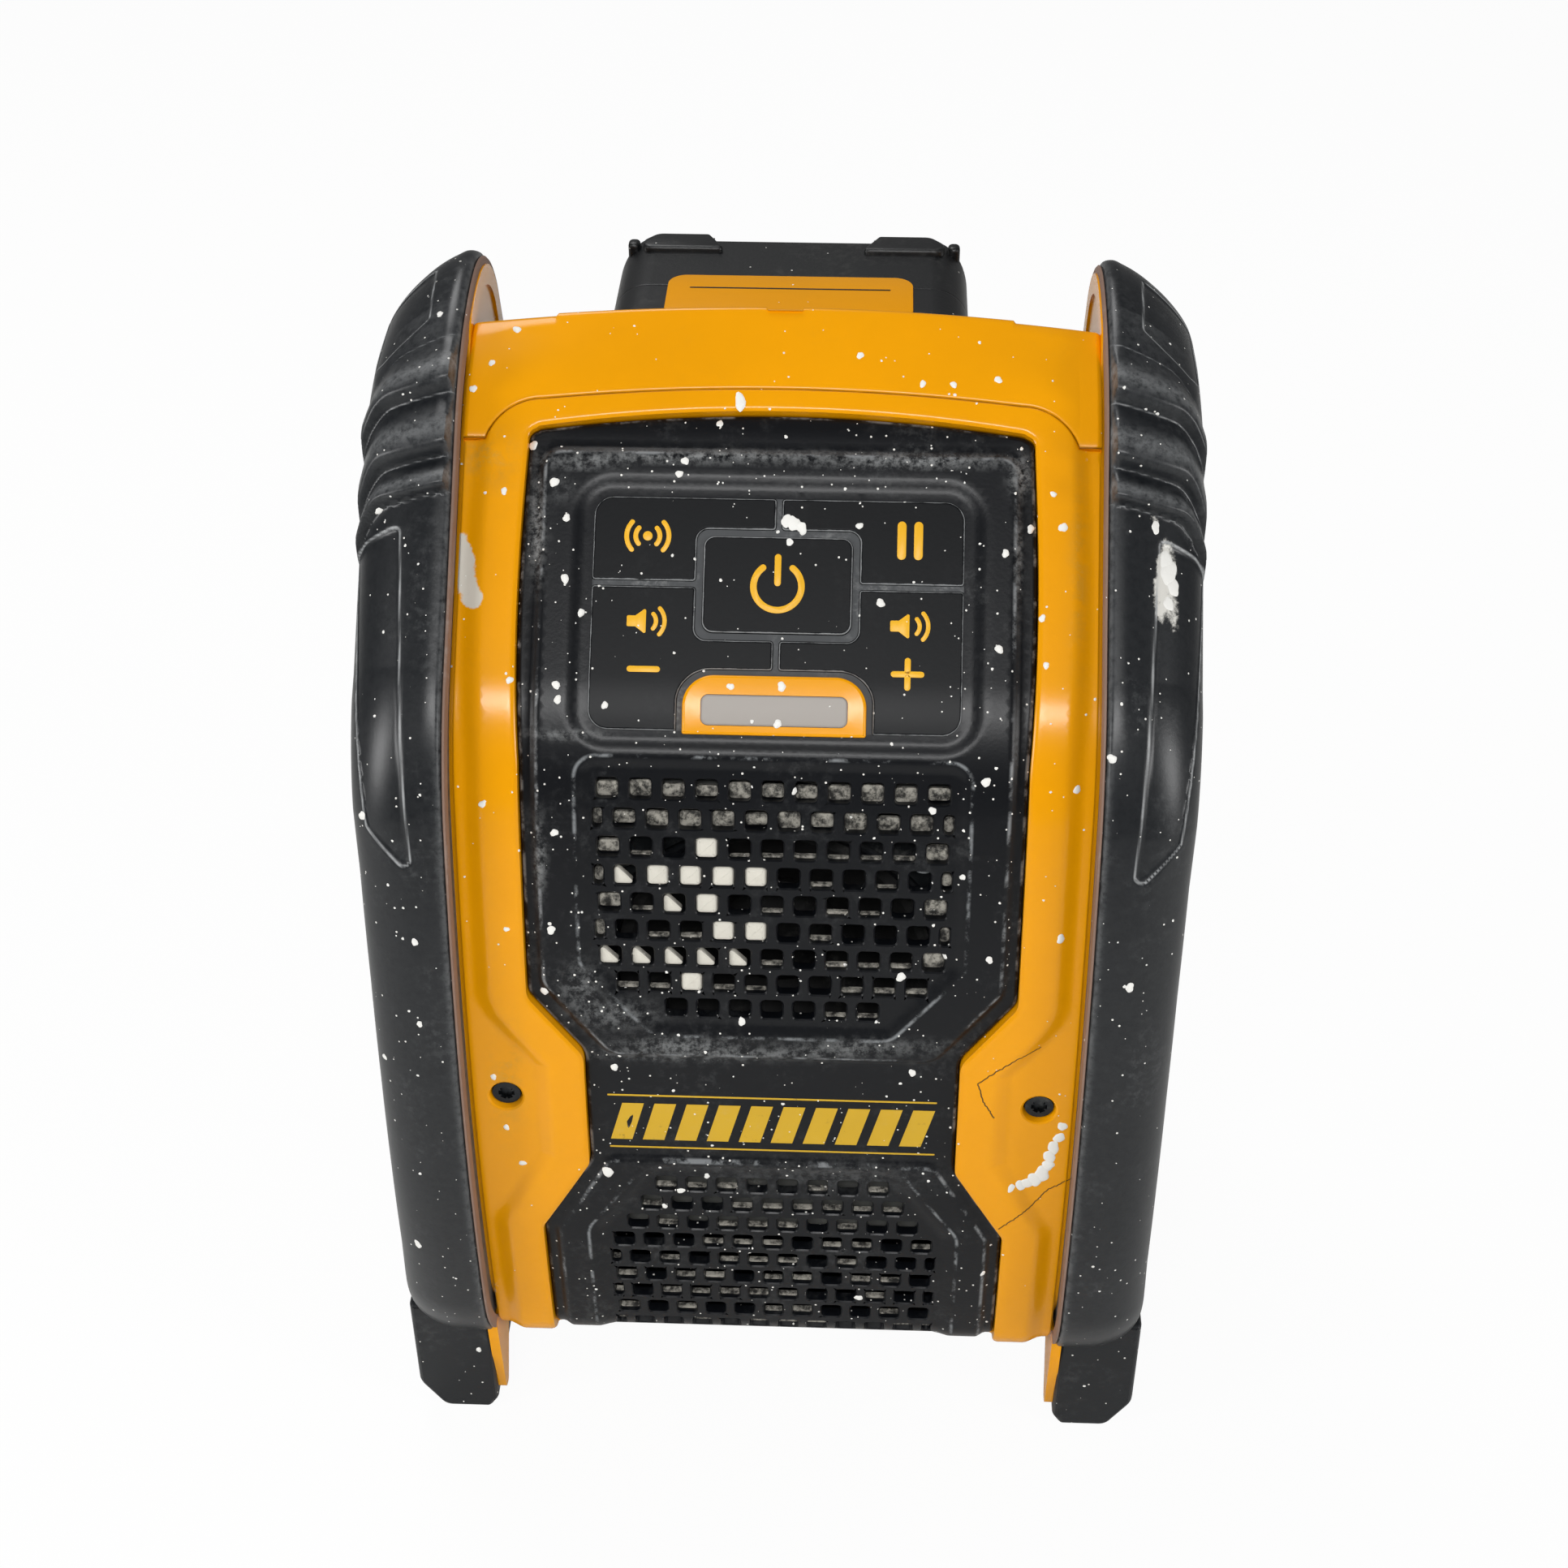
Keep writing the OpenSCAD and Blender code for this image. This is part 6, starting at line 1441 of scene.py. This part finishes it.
bar_lo, bar_hi = BAND_LO + BAR_GAP, BAND_HI - BAR_GAP
bars = [np.array([(x - BAR_HALF - BAR_SLANT, bar_lo), (x + BAR_HALF - BAR_SLANT, bar_lo),
                  (x + BAR_HALF + BAR_SLANT, bar_hi), (x - BAR_HALF + BAR_SLANT, bar_hi)])
        for x in np.arange(-4.5, 5) * BAR_PITCH]
bars += [stroke(line(-BAND_HALF, s, BAND_HALF, s), 0.45) for s in (BAND_LO, BAND_HI)]
printed = [prism(refine(counter_clockwise(loop), 2.0), [(0, 0.02), (0, -0.03)], on_band) for loop in bars]
band_points, band_faces = merge(*printed)
band_piece = piece("printed_band", band_points, band_faces, band_paint, slot="black_plastic")
mask(band_piece, "wear", np.full(len(band_points), BAND_FLAKED))
print("band", len(bars), "bars and lines")

# %% [markdown]
# ## Filled holes
# The speaker has stood under a painter: white paint fills a few holes of the grille, and dust lies in others.
# Each filling is a low block in its hole. Which holes hold paint was read off the photograph, by row and by
# place in the row; how far dust fills the rest is drawn by a seeded generator.

# %% Filled holes
FILLED = {2: [-2], 3: [-3.5, -2.5, -1.5, -0.5], 4: [-2], 5: [-1.5, -0.5], 7: [-2.5]}
HALF_FILLED = {3: [-4.5], 4: [-3], 6: [-5, -4, -3, -2, -1]}
LOWER, DUSTY_ROWS, DUSTY_PLACE, HOLE_DUST = 20, 2, 4.6, 0.95
plugs, dust_plugs = [], []
dust_rng = np.random.default_rng(3)


def in_hole(rows, c, depth):
    """Rows of (x, distance, height) from a hole's middle on the panel's surface to space."""
    return on_front(np.column_stack([rows[:, :2] + c, depth - rows[:, 2]]))


for hole, row in zip(holes, np.concatenate([upper_row, lower_row + LOWER])):
    c, h, n = hole[:2], hole[2:] - 0.1, round(hole[0] / PITCH_X * 2) / 2
    square = np.array([(-h[0], -h[1]), (h[0], -h[1]), (h[0], h[1]), (-h[0], h[1])])
    depth = panel_depth(c[None])[0]
    kind, outline = plugs, None
    if n in FILLED.get(row, []):
        outline, stations = rounded(square, 0.8), [(0, -2.4), (0, -0.7), (0.35, -0.35), (0.9, -0.22)]
    elif n in HALF_FILLED.get(row, []):
        outline, stations = rounded(square[[0, 1, 3]], 0.5), [(0, -2.4), (0, -0.8), (0.3, -0.6)]
    elif row < DUSTY_ROWS or (row < LOWER and abs(n) > DUSTY_PLACE):
        low = square * [1, 0.55 + 0.4 * rng.random()] + [0, -0.3 - 0.5 * rng.random()]
        kind, outline, stations = dust_plugs, rounded(low, 0.6), [(0, -2.9), (0, -2.0), (0.5, -1.7)]
    elif dust_rng.random() < 0.6:
        share = dust_rng.uniform(0.06, 0.17)
        strip = square * [1, share] - [0, h[1] * (1 - share)]
        kind, outline, stations = dust_plugs, rounded(strip, 0.1), [(0, -2.4), (0, -1.3), (0.05, -1.2)]
    if outline is not None:
        kind.append(prism(outline, stations, lambda rows: in_hole(rows, c, depth)))
piece("paint_in_holes", *merge(*plugs), hole_paint, slot="black_plastic", crease=50)
dust_points, dust_faces = merge(*dust_plugs)
dust_piece = piece("dust_in_holes", dust_points, dust_faces, hole_dust, slot="black_plastic", crease=50)
mask(dust_piece, "dust", np.full(len(dust_points), HOLE_DUST))
print(len(plugs), "holes with paint,", len(dust_plugs), "with dust")

# %% [markdown]
# ## Paint drops
# The larger drops are where the photograph has them: a line of sight through a pixel is followed to the first
# surface, and a low dome is set there along the surface's normal. A search tree of all faces finds that
# surface quickly. Each drop rides on the body that it landed on.

# %% Line of sight
skin_points, skin_faces, skin_body, count = [], [], [], 0
for body, points, faces in skins:
    skin_points.append(points)
    for corners in faces:
        skin_faces += (corners + count).tolist()
        skin_body += [body] * len(corners)
    count += len(points)
tree_of_skins = BVHTree.FromPolygons(np.concatenate(skin_points).tolist(), skin_faces)
box_low, box_high = np.array(cad_box[0]) / MM, np.array(cad_box[1]) / MM
DROP_UP, DOME = np.array([0, 0.6, 0.8]), np.array([(1.0, -0.15), (0.93, 0.35), (0.68, 0.8), (0.3, 1.0)])
WAVES = ((2, 1.0), (3, 0.7), (5, 0.5))


def cast(px, py):
    """First surface behind a pixel: its place, its normal towards the camera and the body it moves with."""
    ray = sight(px, py)
    place, normal, index, _ = tree_of_skins.ray_cast(Vector(EYE), Vector(ray))
    if place is None:
        return None
    normal = np.array(normal) * (1 if np.array(normal) @ ray < 0 else -1)
    return np.array(place), normal, skin_body[index]


def drop(place, normal, r, tall=1.0, flat=0.28, ragged=0.12, n=16):
    """Low dome on a surface: rings of falling radius and rising height, made wavy by a sum of sines."""
    up = DROP_UP - normal * (normal @ DROP_UP)
    up /= np.linalg.norm(up)
    side = np.cross(up, normal)
    a = np.linspace(0, 2 * np.pi, n, endpoint=False)
    wave = 1 + ragged * sum(share * np.sin(k * a + rng.uniform(0, 6)) for k, share in WAVES)
    radius = r * DOME[:, :1] * wave[None, :]
    around = np.cos(a)[:, None] * side + tall * np.sin(a)[:, None] * up
    rings = place + radius[..., None] * around[None] + (flat * r * DOME[:, 1])[:, None, None] * normal
    faces = [quads(4, n, wrap_cols=True), (3 * n + np.arange(n))[None]]
    return np.clip(rings.reshape(-1, 3), box_low, box_high), faces


print(len(skin_faces), "faces to land on")

# %% [markdown]
# ### Where the drops are
# The first list holds single drops: a pixel, and for some a radius and how stretched they are. Then comes a
# fine scatter over the whole picture, from the seeded generator, and last the larger splashes, each a row of
# flat blobs that run into each other.

# %% Paint drops
BIG_DROPS = [(912, 495, 1.0, 2.2), (887, 522), (657, 549), (683, 594), (698, 638), (837, 584), (844, 568),
             (1059, 648), (1239, 682), (1231, 800), (1284, 762), (1289, 820), (963, 846), (900, 846),
             (745, 869), (687, 862), (685, 844), (716, 755), (696, 713), (628, 838), (1085, 743),
             (958, 892), (683, 1026), (1215, 964), (679, 1146), (624, 1145), (1186, 1081), (1219, 1183),
             (1149, 999), (1110, 1204), (1118, 1210), (1164, 1178), (757, 1315), (1124, 1322), (914, 1259),
             (671, 1221), (979, 975), (749, 1444, 1.3), (871, 1449), (644, 1433), (819, 1486), (839, 1467),
             (1058, 1599), (1211, 1569), (517, 1262), (474, 1302), (608, 1327), (624, 1389), (515, 1533),
             (590, 1663), (426, 844, 0.8, 1.8), (594, 991), (511, 1161), (446, 1005), (621, 605),
             (606, 447), (583, 479), (637, 406), (542, 387), (467, 629), (437, 667), (1298, 609),
             (1310, 650), (1230, 468), (1270, 652), (1137, 473), (1175, 474), (1060, 438), (1392, 1217),
             (1307, 1157), (1327, 973), (1370, 935)]
BLOBS = [(969, 642, 0.8), (978, 645, 1.05), (988, 651, 0.75), (973, 668, 0.5), (1424, 650, 0.7),
         (1436, 692, 1.3), (1440, 706, 1.5), (1446, 724, 1.2), (1440, 744, 0.9), (1256, 1461, 1.0),
         (1265, 1458, 1.2), (1275, 1453, 1.35), (1284, 1446, 1.35), (1291, 1436, 1.2), (1293, 1425, 1.1),
         (1298, 1414, 1.0), (1305, 1402, 1.0), (1309, 1388, 0.8), (1246, 1464, 0.7)]
SCATTER_FROM, SCATTER_TO, SCATTERED = (425, 300), (1495, 1740), 520
drops = {}
for px, py, *more in BIG_DROPS:
    hit = cast(px, py)
    if hit:
        size = more[0] if more else rng.uniform(0.6, 0.95)
        tall = more[1] if len(more) > 1 else rng.uniform(0.9, 1.25)
        drops.setdefault(hit[2], []).append(drop(*hit[:2], size, tall))
for px, py in rng.uniform(SCATTER_FROM, SCATTER_TO, (SCATTERED, 2)):
    hit = cast(px, py)
    if hit:
        drops.setdefault(hit[2], []).append(drop(*hit[:2], 0.12 + 0.28 * rng.random() ** 3, n=8))
for px, py, size in BLOBS:
    hit = cast(px, py)
    if hit:
        drops.setdefault(hit[2], []).append(drop(*hit[:2], 1.25 * size, rng.uniform(1.0, 1.5), 0.1, 0.1, 28))
for body, parts in drops.items():
    piece(f"paint_drops_{body}", *merge(*parts), wall_paint, body=body, slot="black_plastic", crease=60)
print({body: len(parts) for body, parts in drops.items()}, "drops")

# %% [markdown]
# ## Cracks
# Two hairline cracks cross the lower part of the frame. Each is a path of pixels, shaken a little, cast onto
# the surface and widened into a ribbon just above it. Cutting the frame open would show no more than this.

# %% Cracks
CRACKS = [[(1282, 1290), (1243, 1312), (1205, 1335), (1212, 1358), (1225, 1378)],
          [(1320, 1452), (1290, 1466), (1262, 1494), (1228, 1516)]]
CRACK_POINTS, CRACK_HALF, CRACK_ABOVE = 60, 0.14, 0.03
for k, path in enumerate(CRACKS):
    path = np.array(path, float)
    t = np.linspace(0, len(path) - 1, CRACK_POINTS)
    track = np.column_stack([np.interp(t, np.arange(len(path)), path[:, i]) for i in (0, 1)])
    hits = [cast(*pixel) for pixel in track + rng.normal(0, 0.5, track.shape)]
    centre = np.array([hit[0] for hit in hits if hit])
    normal = np.array([hit[1] for hit in hits if hit])
    ahead = np.gradient(centre, axis=0)
    across = np.cross(ahead / np.linalg.norm(ahead, axis=1)[:, None], normal) * CRACK_HALF
    above = CRACK_ABOVE * normal
    ribbon = np.stack([centre - across + above, centre + across + above], 1).reshape(-1, 3)
    piece(f"frame_crack_{k}", ribbon, quads(len(centre), 2), crack_line, slot="yellow_plastic")
    print("crack", k, len(centre), "points")

# %% [markdown]
# ## Stage and light
# A pale floor and a white surround, as in a studio. The camera sees both almost as pure white, while the
# surround lights the speaker only a little: a light path node tells the two apart. Four soft lamps do the
# rest: one above the rear for the top edges, one at each side for the guards, and a wide one above the front.

# %% Stage
FLOOR_HALF, FLOOR_WHITE, FILL_LIGHT = 3, 0.95, 0.17
floor_mat, floor_tree, floor_shader = material("pale_floor")
floor_shader.inputs["Base Color"].default_value = linear("#F4F4F2")
floor_shader.inputs["Roughness"].default_value = 0.9
white = add(floor_tree, "Emission", {"Color": (1, 1, 1, 1), "Strength": 1.0})
seen = add(floor_tree, "Math", {0: add(floor_tree, "LightPath", {}, "Is Camera Ray"), 1: FLOOR_WHITE},
           operation="MULTIPLY")
mixed = add(floor_tree, "MixShader", {0: seen, 1: floor_shader.outputs[0], 2: white})
floor_tree.links.new(mixed, floor_tree.nodes["Material Output"].inputs[0])
floor_mesh = bpy.data.meshes.new("floor")
floor_mesh.from_pydata([(x * FLOOR_HALF, y * FLOOR_HALF, 0) for x, y in ((-1, -1), (1, -1), (1, 1), (-1, 1))],
                       [], [(0, 1, 2, 3)])
floor_mesh.materials.append(floor_mat)
floor = bpy.data.objects.new("floor", floor_mesh)
bpy.context.scene.collection.objects.link(floor)

world = bpy.data.worlds.new("studio")
bpy.context.scene.world = world
world.use_nodes = True
sky = world.node_tree
straight = add(sky, "LightPath", {}, "Is Camera Ray")
lit = add(sky, "MapRange", {"Value": straight, 1: 0.0, 2: 1.0, 3: FILL_LIGHT, 4: 1.0})
sky.nodes["Background"].inputs["Color"].default_value = (1, 1, 1, 1)
sky.links.new(lit, sky.nodes["Background"].inputs["Strength"])
bpy.context.scene.view_settings.view_transform = "Standard"
print("floor", 2 * FLOOR_HALF, "m wide")

# %% [markdown]
# ### Lamps
# Area lamps give the soft, wide highlights of a studio; a point lamp would leave hard sparks on the ribs. The
# side lamps are weak, so that the guards stay dark and only their edges show.

# %% Lamps
# Name, place, target, width and height in metres, and power in watts.
LAMPS = [("top_lamp", (-0.3, 0.6, 1.15), (0, 0, 0.18), (0.5, 0.5), 5.2),
         ("left_lamp", (-1.05, -0.55, 0.45), (0, -0.02, 0.14), (0.3, 0.4), 5.2),
         ("right_lamp", (1.05, -0.55, 0.45), (0, -0.02, 0.14), (0.3, 0.4), 4.6),
         ("front_lamp", (-0.05, -0.94, 1.01), (0, -0.05, 0.2), (0.5, 0.16), 7.4)]
for name, place, target, size, power in LAMPS:
    data = bpy.data.lights.new(name, "AREA")
    data.shape = "RECTANGLE"
    data.size, data.size_y, data.energy = *size, power
    lamp = bpy.data.objects.new(name, data)
    lamp.location = place
    lamp.rotation_euler = (Vector(target) - Vector(place)).to_track_quat("-Z", "Y").to_euler()
    bpy.context.scene.collection.objects.link(lamp)
print(len(LAMPS), "lamps")
